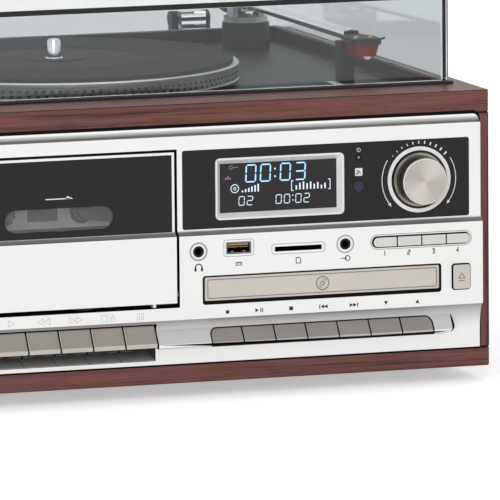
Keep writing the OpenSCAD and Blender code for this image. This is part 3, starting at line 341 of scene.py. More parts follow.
def along(m, axis, lo, hi, stops):
    """Colours along one axis of the object, between two places in metres; here painted shade."""
    where = add_node(m, "SeparateXYZ", Vector=add_node(m, "TexCoord").outputs["Object"]).outputs[axis]
    part = add_node(m, "MapRange", Value=where, From_Min=lo, From_Max=hi, To_Max=0.96).outputs["Result"]
    feed(m, ramp(m, maths(m, "MULTIPLY_ADD", noise(m, (500,) * 3), 0.04, part), stops), "Base Color")


def graded_silver(name, metal, z0, z1, stops, rough=0.36):
    """Silver paint with painted shade that changes between two heights in millimetres; stops are shares of
    its brightness.
    """
    silver = tone("mc_cabinet.silver")
    m = moulded(name, silver, rough, 0.012, 1400, 0.00001, metal, 0.05)
    along(m, "Z", at(0, 0, z0).z, at(0, 0, z1).z, [(pos, shade(silver, share)) for pos, share in stops])
    return m


def strip_finish(name):
    """Silver of the coved strip with painted shade, darker towards its foot."""
    top = span("front_panel")[5]
    stops = [(0.0, 0.52), (0.35, 0.58), (0.48, 0.52), (0.62, 0.68), (0.8, 1)]
    return graded_silver(name, 0.9, top - STRIP_H, top, stops, 0.3)


def knob_side_finish(name):
    """Brushed side of the knob, darker than the cap and darker still towards it where its waist curves out
    under it: painted shade.
    """
    m = brushed(name, linear((100, 94, 88)), 0.2, (60, 2600, 60))
    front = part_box("volume_knob")[0].y
    stops = [(0.0, (10, 9, 9)), (0.2, (20, 18, 17)), (0.55, (62, 57, 52)), (1.0, (120, 112, 104))]
    along(m, "Y", front + 0.6 * MM, front + 7.5 * MM, [(pos, linear(rgb)) for pos, rgb in stops])
    return m


def board_finish(name):
    """Green solder mask with tracks and pads."""
    green = linear((24, 74, 46))
    m = new_finish(name, green, 0.35)
    where = add_node(m, "TexCoord").outputs["Object"]
    tracks = add_node(m, "TexBrick", Vector=add_node(m, "Mapping", Vector=where, Scale=(160,) * 3).outputs[0],
                      Color1=green, Color2=shade(green, 0.8), Mortar=shade(green, 1.9), Scale=1,
                      Mortar_Size=0.06, Brick_Width=0.7, Row_Height=0.3, Bias=0)
    feed(m, tracks.outputs["Color"], "Base Color")
    bump(m, tracks.outputs["Fac"], 0.3, 0.00004)
    return m


def winding_finish(name):
    """Stacked iron sheets round a copper winding."""
    m = new_finish(name, linear((74, 68, 62)), 0.45, 0.6)
    where = add_node(m, "TexCoord").outputs["Object"]
    wave = add_node(m, "TexWave", Vector=add_node(m, "Mapping", Vector=where, Scale=(0, 400, 0)).outputs[0],
                    bands_direction="Y", Scale=1, Distortion=0.3).outputs["Fac"]
    feed(m, ramp(m, wave, [(0.2, linear((40, 37, 35))), (0.8, linear((96, 88, 80)))]), "Base Color")
    bump(m, wave, 0.5, 0.0002)
    return m


def lit(rgb, strength):
    """Maker of a lit segment with a faint cell pattern."""
    def make(name):
        colour = tone(rgb)
        m = new_finish(name, colour, 0.4, Emission_Strength=strength)
        feed(m, ramp(m, noise(m, (2500,) * 3, 1), [(0.3, shade(colour, 0.82)), (0.7, colour)]),
             "Emission Color")
        return m
    return make


def clear_finish(name):
    """Clear acrylic with faint rub marks."""
    m = new_finish(name, tone("mc_turntable.cover"), 0.02, Transmission_Weight=1.0, IOR=1.49)
    gloss(m, noise(m, (90, 14, 60), 6, Roughness=0.7), 0.0, 0.04)
    return m


def window_finish(name):
    """Smoked clear sheet: thin and partly see-through, with a fine haze."""
    colour = linear((178, 180, 181))
    m = new_finish(name, colour, 0.12, Alpha=0.13)
    tones(m, noise(m, (400,) * 3, 3), colour, 0.94, 1.04)
    return m


def tone(rgb):
    """Linear colour from sRGB numbers, or from a setting named as group.name."""
    if isinstance(rgb, str):
        group, name = rgb.split(".")
        return (*getattr(getattr(bpy.context.scene, group), name), 1)
    return linear(rgb)


def middle(node):
    """Middle of a node's box, in metres."""
    lo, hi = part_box(node)
    return (lo + hi) / 2


def paint(rgb, rough, *surface, **sockets):
    """Maker of a moulded or painted finish."""
    return lambda name: moulded(name, tone(rgb), rough, *surface, **sockets)


def metal(rgb, rough, scale):
    """Maker of a brushed metal."""
    return lambda name: brushed(name, linear(rgb), rough, scale)


FINISHES = {
    "veneer_x": lambda name: veneer(name, 0),
    "veneer_z": lambda name: veneer(name, 2),
    # dark brown on the rounded wood edges: painted shade
    "veneer_edge_shade": paint((44, 28, 27), 0.45, 0.12, 1300, 0.00004, Specular_IOR_Level=0.2),
    "silver": paint("mc_cabinet.silver", 0.3, 0.012, 1400, 0.00001, 0.9, 0.05),
    # silvers with painted shade on the coved strip, the cove, the ledge and the slanted key bar
    "silver_strip_shade": strip_finish,
    "silver_cove_shade": lambda name: graded_silver(name, 0.2, 19.0, 34.1,
                                              [(0, 1), (0.25, 0.96), (0.6, 0.72), (0.95, 0.46)]),
    "silver_ledge_shade": lambda name: graded_silver(name, 0.2, *LEDGE,
                                               [(0, 0.13), (0.3, 0.2), (0.7, 0.24), (0.86, 0.95)]),
    "silver_bar_shade": lambda name: graded_silver(name, 0.9, 20.2, 28.9, [(0, 0.8), (1, 0.84)]),
    "silver_line": paint((168, 168, 167), 0.45, 0.03, 1400, 0.00001, 0.3),
    "frame_silver": paint((236, 236, 235), 0.3, 0.012, 1400, 0.00001, 0.3, 0.05),
    "emboss": paint((214, 214, 213), 0.4, 0.02, 1400, 0.00001, 0.5),
    # black for painted shade in gaps, seams and on the sides of keys and buttons
    "gap": paint((16, 15, 15), 0.8, 0.1, 1500, 0.00002, Specular_IOR_Level=0.1),
    "socket": paint((22, 21, 21), 0.35, 0.1, 1500, 0.00002, Specular_IOR_Level=0.3),
    "black_gloss": paint("mc_front.gloss", 0.16, 0.05, 500, 0.000004, 0, 0.03, Specular_IOR_Level=0.32),
    "black_matte": paint("mc_cabinet.black", 0.55, 0.06, 1600, 0.00006),
    "dark_recess": paint((96, 95, 94), 0.5, 0.05, 1500),
    "dark_trim": paint((118, 112, 106), 0.5, 0.05, 2000, 0.00001),
    "floor_grey": paint((186, 185, 183), 0.55, 0.03, 1200, 0.00003),
    "rib_grey": paint((120, 116, 112), 0.5, 0.06, 1500),
    "piano": paint("mc_front.piano", 0.42, 0.04, 2200),
    # lighter piano key colour: painted highlight on the lips and left edges
    "piano_lip_highlight": paint((196, 189, 182), 0.42, 0.03, 2200, 0.00003),
    # dark line: painted shade in the crease of a piano key
    "crease_shade": paint((72, 66, 62), 0.5, 0.05, 2000, 0.00002),
    "taupe": paint("mc_front.taupe", 0.44, 0.04, 2200),
    # lighter taupe: painted highlight on the keys' lips
    "taupe_lip_highlight": paint((190, 183, 178), 0.44, 0.03, 2200, 0.00003),
    "beige": paint("mc_front.beige", 0.42, 0.02, 2200, 0.00003),
    "button": paint("mc_front.button", 0.42, 0.02, 2200, 0.00003),
    "white": paint((240, 240, 239), 0.3, 0.01, 900, 0.00001),
    "ink": paint("mc_front.ink", 0.5, 0.1, 3000, 0.00001),
    "ink_white": paint((232, 232, 230), 0.5, 0.03, 3000, 0.00001),
    "red": paint((168, 38, 34), 0.4, 0.06, 1500, 0.00003),
    "plate_grey": paint((196, 196, 195), 0.4, 0.03, 1200, 0.00003),
    "deck_grey": paint((84, 83, 82), 0.5, 0.05, 1200, 0.00003),
    "deck_light": paint((246, 246, 245), 0.45, 0.02, 1200, 0.00002),
    "reel": paint((58, 57, 57), 0.4, 0.06, 1500),
    "rubber": paint((44, 43, 44), 0.72, 0.12, 1800, 0.00008),
    "foot": paint((36, 36, 37), 0.6, 0.1, 1400, 0.00008),
    "lens": paint((40, 36, 38), 0.12, 0.06, 300, 0.000003, 0, 0.02, Specular_IOR_Level=0.3),
    "lamp": paint((140, 136, 138), 0.2, 0.1, 900, 0.00002),
    "infrared": paint((50, 47, 68), 0.15, 0.12, 700, 0.00001, Specular_IOR_Level=0.3),
    "glow": lit("mc_front.glow", 0.8),
    "glow_soft": lit((196, 214, 224), 0.55),
    "steel": metal((200, 200, 202), 0.3, (30, 900, 900)),
    "zinc": metal((176, 178, 180), 0.42, (300, 300, 60)),
    "chrome": metal((232, 232, 234), 0.1, (500, 20, 500)),
    "brass": metal((196, 158, 100), 0.25, (400, 60, 400)),
    "aluminium": metal((214, 213, 211), 0.28, (200, 200, 1500)),
    # darker brushed side of the knob: painted shade
    "knob_side": knob_side_finish,
    # lighter than the cap: painted highlight on the knob's lip
    "knob_edge": metal((226, 222, 216), 0.2, (60, 2600, 60)),
    "knob_flange": metal((196, 190, 182), 0.26, (60, 2600, 60)),
    # light and dark sectors on the cap: painted highlight
    "knob_cap": lambda name: turned(name, tone("mc_front.cap"), 0.34, middle("volume_knob"), 1, 9000, 0.16,
                                    Anisotropic=0.6),
    "platter_top": lambda name: turned(name, linear((205, 205, 206)), 0.3, middle("platter"), 2, 4000,
                                       Anisotropic=0.7),
    "board": board_finish,
    "laminations": winding_finish,
    "clear": clear_finish,
    "window": window_finish,
}
finishes = {}


def finish(name):
    """The named finish, made on first use."""
    if name not in finishes:
        finishes[name] = FINISHES[name](name)
    return finishes[name]


# ---------------------------------------------------------------- mesh helpers

def link(ob):
    bpy.context.scene.collection.objects.link(ob)
    return ob


def set_piece(ob, body, stands_for=()):
    """Rides a body and takes the place of CAD nodes."""
    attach(ob, body)
    if stands_for:
        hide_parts(*stands_for)
    return ob


def smooth(me, angle=35):
    me.shade_smooth()
    me.set_sharp_from_angle(angle=math.radians(angle))


def area_of(me):
    me.calc_loop_triangles()
    return sum(t.area for t in me.loop_triangles)


def mark_edges(me, width, angle):
    """Marks the edges to round: sharp ones whose faces are wide enough on both sides."""
    bm = bmesh.new()
    bm.from_mesh(me)
    layer = bm.edges.layers.float.new("bevel_weight_edge")
    for e in bm.edges:
        if len(e.link_faces) != 2 or e.calc_face_angle(0) < angle:
            continue
        a = e.verts[0].co
        d = (e.verts[1].co - a).normalized()
        room = min(max(((v.co - a) - d * (v.co - a).dot(d)).length for v in f.verts) for f in e.link_faces)
        if room > 2.05 * width:
            e[layer] = 1.0
    bm.to_mesh(me)
    bm.free()


def bevelled(ob, width, steps=2, angle=32, edge_slot=-1):
    """Rounds the sharp edges and keeps the result as the mesh, narrower where it would fold over."""
    if width <= 0:
        return ob
    first = ob.data
    whole = area_of(first)
    for share in (1, 0.6, 0.35, 0.2):
        me = first.copy()
        mark_edges(me, width * share, math.radians(angle))
        me.shade_smooth()
        ob.data = me
        md = ob.modifiers.new("edges", "BEVEL")
        md.width, md.segments, md.limit_method = width * share, steps, "WEIGHT"
        md.use_clamp_overlap, md.harden_normals, md.material = False, True, edge_slot
        bpy.context.view_layer.update()
        done = bpy.data.meshes.new_from_object(ob.evaluated_get(bpy.context.evaluated_depsgraph_get()))
        ob.modifiers.clear()
        ob.data = done
        bpy.data.meshes.remove(me)
        ratio = area_of(done) / whole
        if ratio < 1.004:
            break
        ob.data = first
        bpy.data.meshes.remove(done)
    return ob


def clean_copy(node):
    """bmesh of a CAD node with joined corners and whole flat faces."""
    bm = bmesh.new()
    bm.from_mesh(parts[node].data)
    bmesh.ops.remove_doubles(bm, verts=bm.verts, dist=3e-6)
    bmesh.ops.dissolve_limit(bm, angle_limit=math.radians(0.6), verts=bm.verts, edges=bm.edges)
    return bm


def from_bmesh(name, bm, mats):
    """New object from a bmesh, with only its shape and its faces' material numbers."""
    me = bpy.data.meshes.new(name)
    bm.verts.index_update()
    me.from_pydata([v.co[:] for v in bm.verts], [], [[v.index for v in f.verts] for f in bm.faces])
    for m in mats:
        me.materials.append(finish(m))
    me.polygons.foreach_set("material_index", [f.material_index if len(mats) > 1 else 0 for f in bm.faces])
    bm.free()
    me.validate()
    return link(bpy.data.objects.new(name, me))


def softened(node, body, mats, width, steps=2, angle=32, edit=None, sharp=35, edge_slot=-1):
    """A CAD node's shape with rounded edges, standing in its place."""
    bm = clean_copy(node)
    for f in bm.faces:
        f.material_index = 0
    if edit:
        edit(bm)
    if isinstance(mats, str):
        mats = [mats]
    ob = from_bmesh(node + "_skin", bm, mats)
    smooth(ob.data, sharp)
    bevelled(ob, width * MM, steps, angle, edge_slot)
    return set_piece(ob, body, (node,))


def dark_sides(bm):
    """Gives every face that does not look forward the second finish, a painted shade."""
    bm.normal_update()
    for f in bm.faces:
        if f.normal.y > -0.35:
            f.material_index = 1


def dress(finish_name, *nodes):
    """Gives CAD nodes that keep their own shape a finish."""
    for node in nodes:
        materials = parts[node].data.materials
        if not materials:
            materials.append(None)
        for i in range(len(materials)):
            materials[i] = finish(finish_name)


class Shape:
    """Collects solids in millimetres as (X, reach, height)."""

    def __init__(self):
        self.points, self.faces, self.kinds = [], [], []
        self.kind = 0

    def add(self, pts, faces):
        n = len(self.points)
        self.points += [at(*q) for q in pts]
        self.faces += [tuple(n + i for i in f) for f in faces]
        self.kinds += [self.kind] * len(faces)
        return self

    def box(self, x0, x1, p0, p1, z0, z1):
        pts = [(x, p, z) for x in (x0, x1) for p in (p0, p1) for z in (z0, z1)]
        return self.add(pts, [(0, 1, 3, 2), (4, 6, 7, 5), (0, 4, 5, 1), (2, 3, 7, 6), (0, 2, 6, 4),
                              (1, 5, 7, 3)])

    def prism(self, ring0, ring1):
        """Closed solid between two rings with the same number of points."""
        n = len(ring0)
        sides = [(i, (i + 1) % n, n + (i + 1) % n, n + i) for i in range(n)]
        return self.add(list(ring0) + list(ring1), sides + [tuple(range(n))[::-1], tuple(range(n, 2 * n))])

    def plate(self, outline, p0, p1):
        """Outline of (X, height) points, facing the front."""
        return self.prism([(x, p0, z) for x, z in outline], [(x, p1, z) for x, z in outline])

    def slab(self, outline, z0, z1):
        """Outline of (X, reach) points, lying flat."""
        return self.prism([(x, p, z0) for x, p in outline], [(x, p, z1) for x, p in outline])

    def wire(self, pts, width, p0, p1, closed=False, flat=False):
        """Flat line of a given width through (X, height) points, or (X, reach) when flat."""
        n = len(pts)
        left, right = [], []
        for i, q in enumerate(pts):
            a = pts[i - 1] if (i or closed) else q
            b = pts[(i + 1) % n] if (i < n - 1 or closed) else q
            d0 = Vector((q[0] - a[0], q[1] - a[1]))
            d1 = Vector((b[0] - q[0], b[1] - q[1]))
            d0 = d0.normalized() if d0.length > 1e-6 else d1.normalized()
            d1 = d1.normalized() if d1.length > 1e-6 else d0
            t = (d0 + d1)
            t = t.normalized() if t.length > 1e-3 else d1
            k = width / 2 / max(0.45, t.dot(d1))
            left.append((q[0] - t.y * k, q[1] + t.x * k))
            right.append((q[0] + t.y * k, q[1] - t.x * k))
        end = n if closed else n - 1
        for i in range(end):
            j = (i + 1) % n
            quad = [left[i], left[j], right[j], right[i]]
            (self.slab if flat else self.plate)(quad, p0, p1)
        return self

    def lathe(self, profile, centre, axis="p", steps=64, closed=False):
        """Turns (radius, place along the axis) points round p, z or x through centre."""
        cx, cp, cz = centre
        pts, index = [], []
        for r, t in profile:
            row = []
            for i in range(steps if r >= 1e-6 else 1):
                a = 2 * math.pi * i / steps
                u, v = r * math.cos(a), r * math.sin(a)
                row.append(len(pts))
                pts.append({"p": (cx + u, t, cz + v), "z": (cx + u, cp + v, t),
                            "x": (t, cp + u, cz + v)}[axis])
            index.append(row)
        faces = []
        pairs = list(zip(index, index[1:])) + ([(index[-1], index[0])] if closed else [])
        for a, b in pairs:
            for i in range(steps):
                j = (i + 1) % steps
                if len(a) == 1 and len(b) == 1:
                    continue
                if len(a) == 1:
                    faces.append((a[0], b[j], b[i]))
                elif len(b) == 1:
                    faces.append((a[i], a[j], b[0]))
                else:
                    faces.append((a[i], a[j], b[j], b[i]))
        return self.add(pts, faces)

    def make(self, name, mats, body, slot, stands_for=(), round_edges=0.0, steps=2, angle=35, sharp=38):
        me = bpy.data.meshes.new(name)
        me.from_pydata(self.points, [], self.faces)
        mats = [mats] if isinstance(mats, str) else mats
        for m in mats:
            me.materials.append(finish(m))
        me.polygons.foreach_set("material_index", self.kinds)
        bm = bmesh.new()
        bm.from_mesh(me)
        bmesh.ops.recalc_face_normals(bm, faces=bm.faces)
        bm.to_mesh(me)
        bm.free()
        ob = link(bpy.data.objects.new(name, me))
        smooth(me, sharp)
        bevelled(ob, round_edges * MM, steps, angle)
        return set_piece(ob, body, stands_for)


def arc(cx, cz, r, a0, a1, n):
    """Points of an arc, angles in degrees from the X axis, counter-clockwise."""
    return [(cx + r * math.cos(math.radians(a0 + (a1 - a0) * i / n)),
             cz + r * math.sin(math.radians(a0 + (a1 - a0) * i / n))) for i in range(n + 1)]


def disc(cx, cz, r, n=24):
    return arc(cx, cz, r, 0, 360, n)[:-1]


def round_box(x0, x1, z0, z1, r, n=5):
    """Outline of a rectangle with round corners."""
    out = []
    for cx, cz, a in ((x1 - r, z1 - r, 0), (x0 + r, z1 - r, 90), (x0 + r, z0 + r, 180),
                      (x1 - r, z0 + r, 270)):
        out += arc(cx, cz, r, a, a + 90, n)
    return out


def rect(x, z, w, h):
    """Outline of a rectangle round a middle point."""
    return [(x - w / 2, z - h / 2), (x + w / 2, z - h / 2), (x + w / 2, z + h / 2), (x - w / 2, z + h / 2)]


def arch(x0, x1, foot, top, r, grow=0.0):
    """Line up one side, round two top corners and down the other, grown outwards from its radius."""
    over = arc(x1 - r, top - r, r + grow, 0, 90, 8) + arc(x0 + r, top - r, r + grow, 90, 180, 8)
    return [(x1 + grow, foot)] + over + [(x0 - grow, foot)]


PIANO_KEYS = ("key_record", "key_play", "key_rewind", "key_forward", "key_stop", "key_pause")
SEGMENTS = {"0": "abcdef", "1": "bc", "2": "abged", "3": "abgcd", "4": "fgbc", "5": "afgcd", "6": "afgedc",
            "7": "abc", "8": "abcdefg", "9": "abcdfg"}


def digit(shape, ch, x, z, w, h, t, p0, p1, lean=0.0):
    """Seven-segment figure whose lower left corner is at x, z."""
    g = t * 0.28

    def bar(xa, za, xb, zb):
        horizontal = abs(zb - za) < 1e-6
        k = t / 2
        if horizontal:
            pts = [(xa + g, za), (xa + g + k, za + k), (xb - g - k, za + k), (xb - g, za),
                   (xb - g - k, za - k),
                   (xa + g + k, za - k)]
        else:
            pts = [(xa, za + g), (xa - k, za + g + k), (xa - k, zb - g - k), (xa, zb - g),
                   (xa + k, zb - g - k),
                   (xa + k, za + g + k)]
        shape.plate([(x + u + lean * v, z + v) for u, v in pts], p0, p1)

    k = t / 2
    lines = {"a": (k, h - k, w - k, h - k), "g": (k, h / 2, w - k, h / 2), "d": (k, k, w - k, k),
             "f": (k, h / 2, k, h - k), "b": (w - k, h / 2, w - k, h - k), "e": (k, k, k, h / 2),
             "c": (w - k, k, w - k, h / 2)}
    for s in SEGMENTS[ch]:
        bar(*lines[s])


def number(shape, text, x, z, w, h, t, p0, p1, step, flat=False):
    """Plain line figures, centred on x, for prints on faces that face the front or lie flat."""
    strokes = {
        "0": [(0, 0), (1, 0), (1, 2), (0, 2), (0, 0)], "1": [(0.25, 1.6), (0.6, 2), (0.6, 0)],
        "2": [(0, 2), (1, 2), (1, 1.05), (0, 0.95), (0, 0), (1, 0)],
        "3": [(0, 2), (1, 2), (0.5, 1.15), (1, 1), (1, 0), (0, 0)],
        "4": [(0.75, 0), (0.75, 2), (0, 0.6), (1, 0.6)],
        "5": [(1, 2), (0, 2), (0, 1.1), (1, 1.1), (1, 0), (0, 0)],
        "6": [(1, 2), (0, 2), (0, 0), (1, 0), (1, 1.05), (0, 1.05)], "7": [(0, 2), (1, 2), (0.35, 0)],
        "8": [(0, 1.05), (0, 2), (1, 2), (1, 0), (0, 0), (0, 1.05), (1, 1.05)],
        "9": [(0, 0), (1, 0), (1, 2), (0, 2), (0, 0.95), (1, 0.95)], "-": [(0.1, 1), (0.9, 1)],
        "+": [(0, 1), (1, 1)], ".": [(0.45, 0), (0.55, 0)]}
    left = x - (len(text) - 1) * step / 2 - w / 2
    for i, ch in enumerate(text):
        pts = [(left + i * step + u * w, z + v * h / 2) for u, v in strokes[ch]]
        shape.wire(pts, t, p0, p1, flat=flat)
        if ch == "+":
            shape.wire([(left + i * step + w / 2, z), (left + i * step + w / 2, z + h)], t, p0, p1, flat=flat)


def screw(shape, x, p, z, r, facing="back"):
    """Pan-head screw with a cross slot, on the rear face or on a flat deck."""
    h = r * 0.6
    dome = [(0, h), (r * 0.55, h), (r * 0.9, h * 0.6), (r, -0.05), (0, -0.05)]
    if facing == "back":
        shape.lathe([(radius, p - t) for radius, t in dome], (x, 0, z), "p", 20)
    else:
        shape.lathe([(radius, z + t) for radius, t in dome], (x, p, 0), "z", 20)
    shape.kind = 1
    for a, b in ((r * 0.6, r * 0.12), (r * 0.12, r * 0.6)):
        if facing == "back":
            shape.box(x - a, x + a, p - h - 0.02, p - h + 0.05, z - b, z + b)
        else:
            shape.box(x - a, x + a, p - b, p + b, z + h - 0.05, z + h + 0.02)
    shape.kind = 0


# ---------------------------------------------------------------- pieces

def build_cabinet():
    """Wood boards whose rounded edges carry a painted shade, and the feet."""
    edge = bpy.context.scene.mc_cabinet.wood_edge / MM
    for board, grain, width in (("bottom_board", "veneer_x", edge * 0.7), ("side_boards", "veneer_z", edge),
                                ("top_frame", "veneer_x", edge * 0.7)):
        softened(board, "cabinet", [grain, "veneer_edge_shade"], width, 3, edge_slot=1)
    softened("feet", "cabinet", "foot", 0.8, 3)
    # pressed ring and screw under each foot
    x0, x1, p0, p1, _, _ = span("feet")
    r = 13
    pads = Shape()
    for x in (x0 + r, x1 - r):
        for p in (p0 + r, p1 - r):
            pads.lathe([(7.2, -7.9), (7.2, -8), (9.6, -8), (9.6, -7.9)], (x, p, 0), "z", 40, closed=True)
            pads.lathe([(0, -6.2), (2.6, -6.2), (3, -5.9), (3, -5.2), (0, -5.2)], (x, p, 0), "z", 24)
    pads.make("foot_pads", "rubber", "cabinet", "rubber")


def key_face(z):
    """Reach of the slanted face of the right keys' bar at a height."""
    return 8.6 - max(0.0, z - KEY_LIP_TOP) * KEY_BAR_SLOPE


def on_ledge(f):
    """Whether a face is part of the slanted ledge across the front."""
    c = f.calc_center_median()
    near = at(0, 0, LEDGE[0] - 0.3).z < c.z < at(0, 0, LEDGE[1] + 0.4).z
    return near and f.normal.z > 0.3 and f.normal.y < -0.3


def build_front():
    """Silver panel with painted shade on its openings and slopes, key recess, and painted shadow in the seams
    and round the key bar.
    """
    px0, px1, _, _, pz0, pz1 = span("front_panel")
    lo, hi = at(px0 + 0.4, 0, pz0 + 0.4), at(px1 - 0.4, 0, pz1 - 0.4)
    foot = at(0, 0, pz1 - STRIP_H - 0.05).z
    cove_foot, cove_top = (at(0, 0, z).z for z in COVE)
    proud = at(0, FACE + 0.1, 0).y

    # painted shade: black on the walls of the openings, darker silvers on the strip, cove, ledge and slanted
    # bar
    def gap_walls(bm):
        bm.normal_update()
        for f in bm.faces:
            c = f.calc_center_median()
            bar_foot = f.normal.z < -0.5 and c.y < proud
            if abs(f.normal.y) < 0.08 and lo.x < c.x < hi.x and lo.z < c.z < hi.z and not bar_foot:
                f.material_index = 1
            elif c.z > foot and f.normal.y < -0.1 and abs(f.normal.x) < 0.5:
                f.material_index = 2
            elif f.normal.z < -0.05 and f.normal.y < -0.03 and cove_foot < c.z < cove_top:
                f.material_index = 3
            elif on_ledge(f):
                f.material_index = 4
            elif f.normal.z > 0.3 and f.normal.y < -0.3 and cove_foot < c.z < cove_top:
                f.material_index = 5
    softened("front_panel", "cabinet",
             ["silver", "gap", "silver_strip_shade", "silver_cove_shade", "silver_ledge_shade", "silver_bar_shade"],
             bpy.context.scene.mc_cabinet.panel_edge / MM, 2, 30, gap_walls, 18)

    kx0, kx1 = span("key_well")[:2]
    dress("dark_recess", "key_well")
    Shape().prism([(kx0 + 1.6, p, z) for p, z in WELL_PLATE],
                  [(kx1 - 1.6, p, z) for p, z in WELL_PLATE]).make("well_floor", "floor_grey", "cabinet",
                                                                   "black_matte")
    ribs = Shape()
    bars = Shape()
    for name in PIANO_KEYS[1:]:
        x = span(name)[0] - 0.35
        ribs.box(x - 0.4, x + 0.4, -4.5, -2.4, 17.0, 19.6)
        # dark line on the well floor under each key gap: painted shade
        seam_line = [(p, z + 0.04) for p, z in WELL_PLATE]
        ribs.prism([(x - 0.12, p, z) for p, z in seam_line], [(x + 0.12, p, z) for p, z in seam_line])
        bars.box(x - 6.6, x + 6.6, -3.4, -2.6, 17.7, 18.2)
    ribs.box(kx1 - 2.0, kx1 - 1.7, -16, 1.2, 13.3, 19.0)
    ribs.make("well_ribs", "gap", "cabinet", "black_matte")
    bars.make("well_bars", "rib_grey", "cabinet", "black_matte", round_edges=0.12)

    # black strip of painted shade that fills the seam round the panel
    seam = Shape()
    r, k = 3.0, 1.1
    inner = arch(px0, px1, pz0, pz1, r)
    outer = [(x, z + 0.6 * max(0, (z - pz1 + r) / (r + k))) for x, z in arch(px0, px1, pz0 - k, pz1, r, k)]
    for i in range(len(inner)):
        j = (i + 1) % len(inner)
        seam.plate([inner[i], inner[j], outer[j], outer[i]], -0.05, 0.3)
    seam.box(px0 + 3, px1 - 3, -3, -0.06, pz1 - 0.4, pz1 + 0.5)
    seam.box(px0 + 3, px1 - 3, -3, -0.06, pz0 - 0.5, pz0 + 0.4)
    seam.make("seam_shade", "gap", "cabinet", "black_matte")

    # painted shadow beyond the right end of the key bar
    bar = Shape()
    x1, z0, z1, r = 136.8, 19.4, 28.9, 4.0
    edge = [(x1, z) for z in (z1 - 0.3, z1 - 1.6, z1 - 3.4, z0 + r + 0.6)]
    edge += arc(x1 - r, z0 + r, r, 0, -54, 7)
    wide = [0.45, 0.9, 1.15, 1.2, 1.2, 1.1, 0.95, 0.8, 0.6, 0.4, 0.2, 0.08]
    away = []
    for (x, z), w in zip(edge, wide):
        away.append((x + w * max(0.4, (x - x1 + r) / r), z - w * max(0, (z0 + r - z) / r)))
    for i in range(len(edge) - 1):
        quad = (edge[i], edge[i + 1], away[i + 1], away[i])
        bar.prism([(x, 0.5, z) for x, z in quad], [(x, key_face(z) - 0.1, z) for x, z in quad])
    # painted shadow line round the row of seven keys
    k0, k1 = span("key_1")[0] - 0.6, span("key_7")[1] + 0.6
    outside, inside = (arch(k0, k1, 20.4, 28.85, 3.8, grow) for grow in (0, -0.5))
    for quad in zip(outside, outside[1:], inside[1:], inside):
        bar.prism([(x, key_face(z) - 0.08, z) for x, z in quad],
                  [(x, key_face(z) + 0.12, z) for x, z in quad])
    # painted shadow under the lip of the key bar
    lip = [(7.55, 19.5), (7.66, 19.36), (8.7, 20.14), (8.7, 20.42), (8.5, 20.42)]
    bar.prism([(k0, p, z) for p, z in lip], [(k1, p, z) for p, z in lip])
    bar.make("bar_shadow", "gap", "cabinet", "black_matte")

    # latch peg, and a black slab of painted shade for a notch, in the gap under the cassette door
    Shape().box(-25.7, -24.1, 2.0, 6.6, 41.0, 43.0).make("door_peg", "white", "cabinet", "white",
                                                         round_edges=0.2)
    Shape().box(-91.0, -82.0, 1.0, 6.2, 40.65, 41.15).make("door_notch_shade", "gap", "cabinet", "black_matte",
                                                           round_edges=0.15)


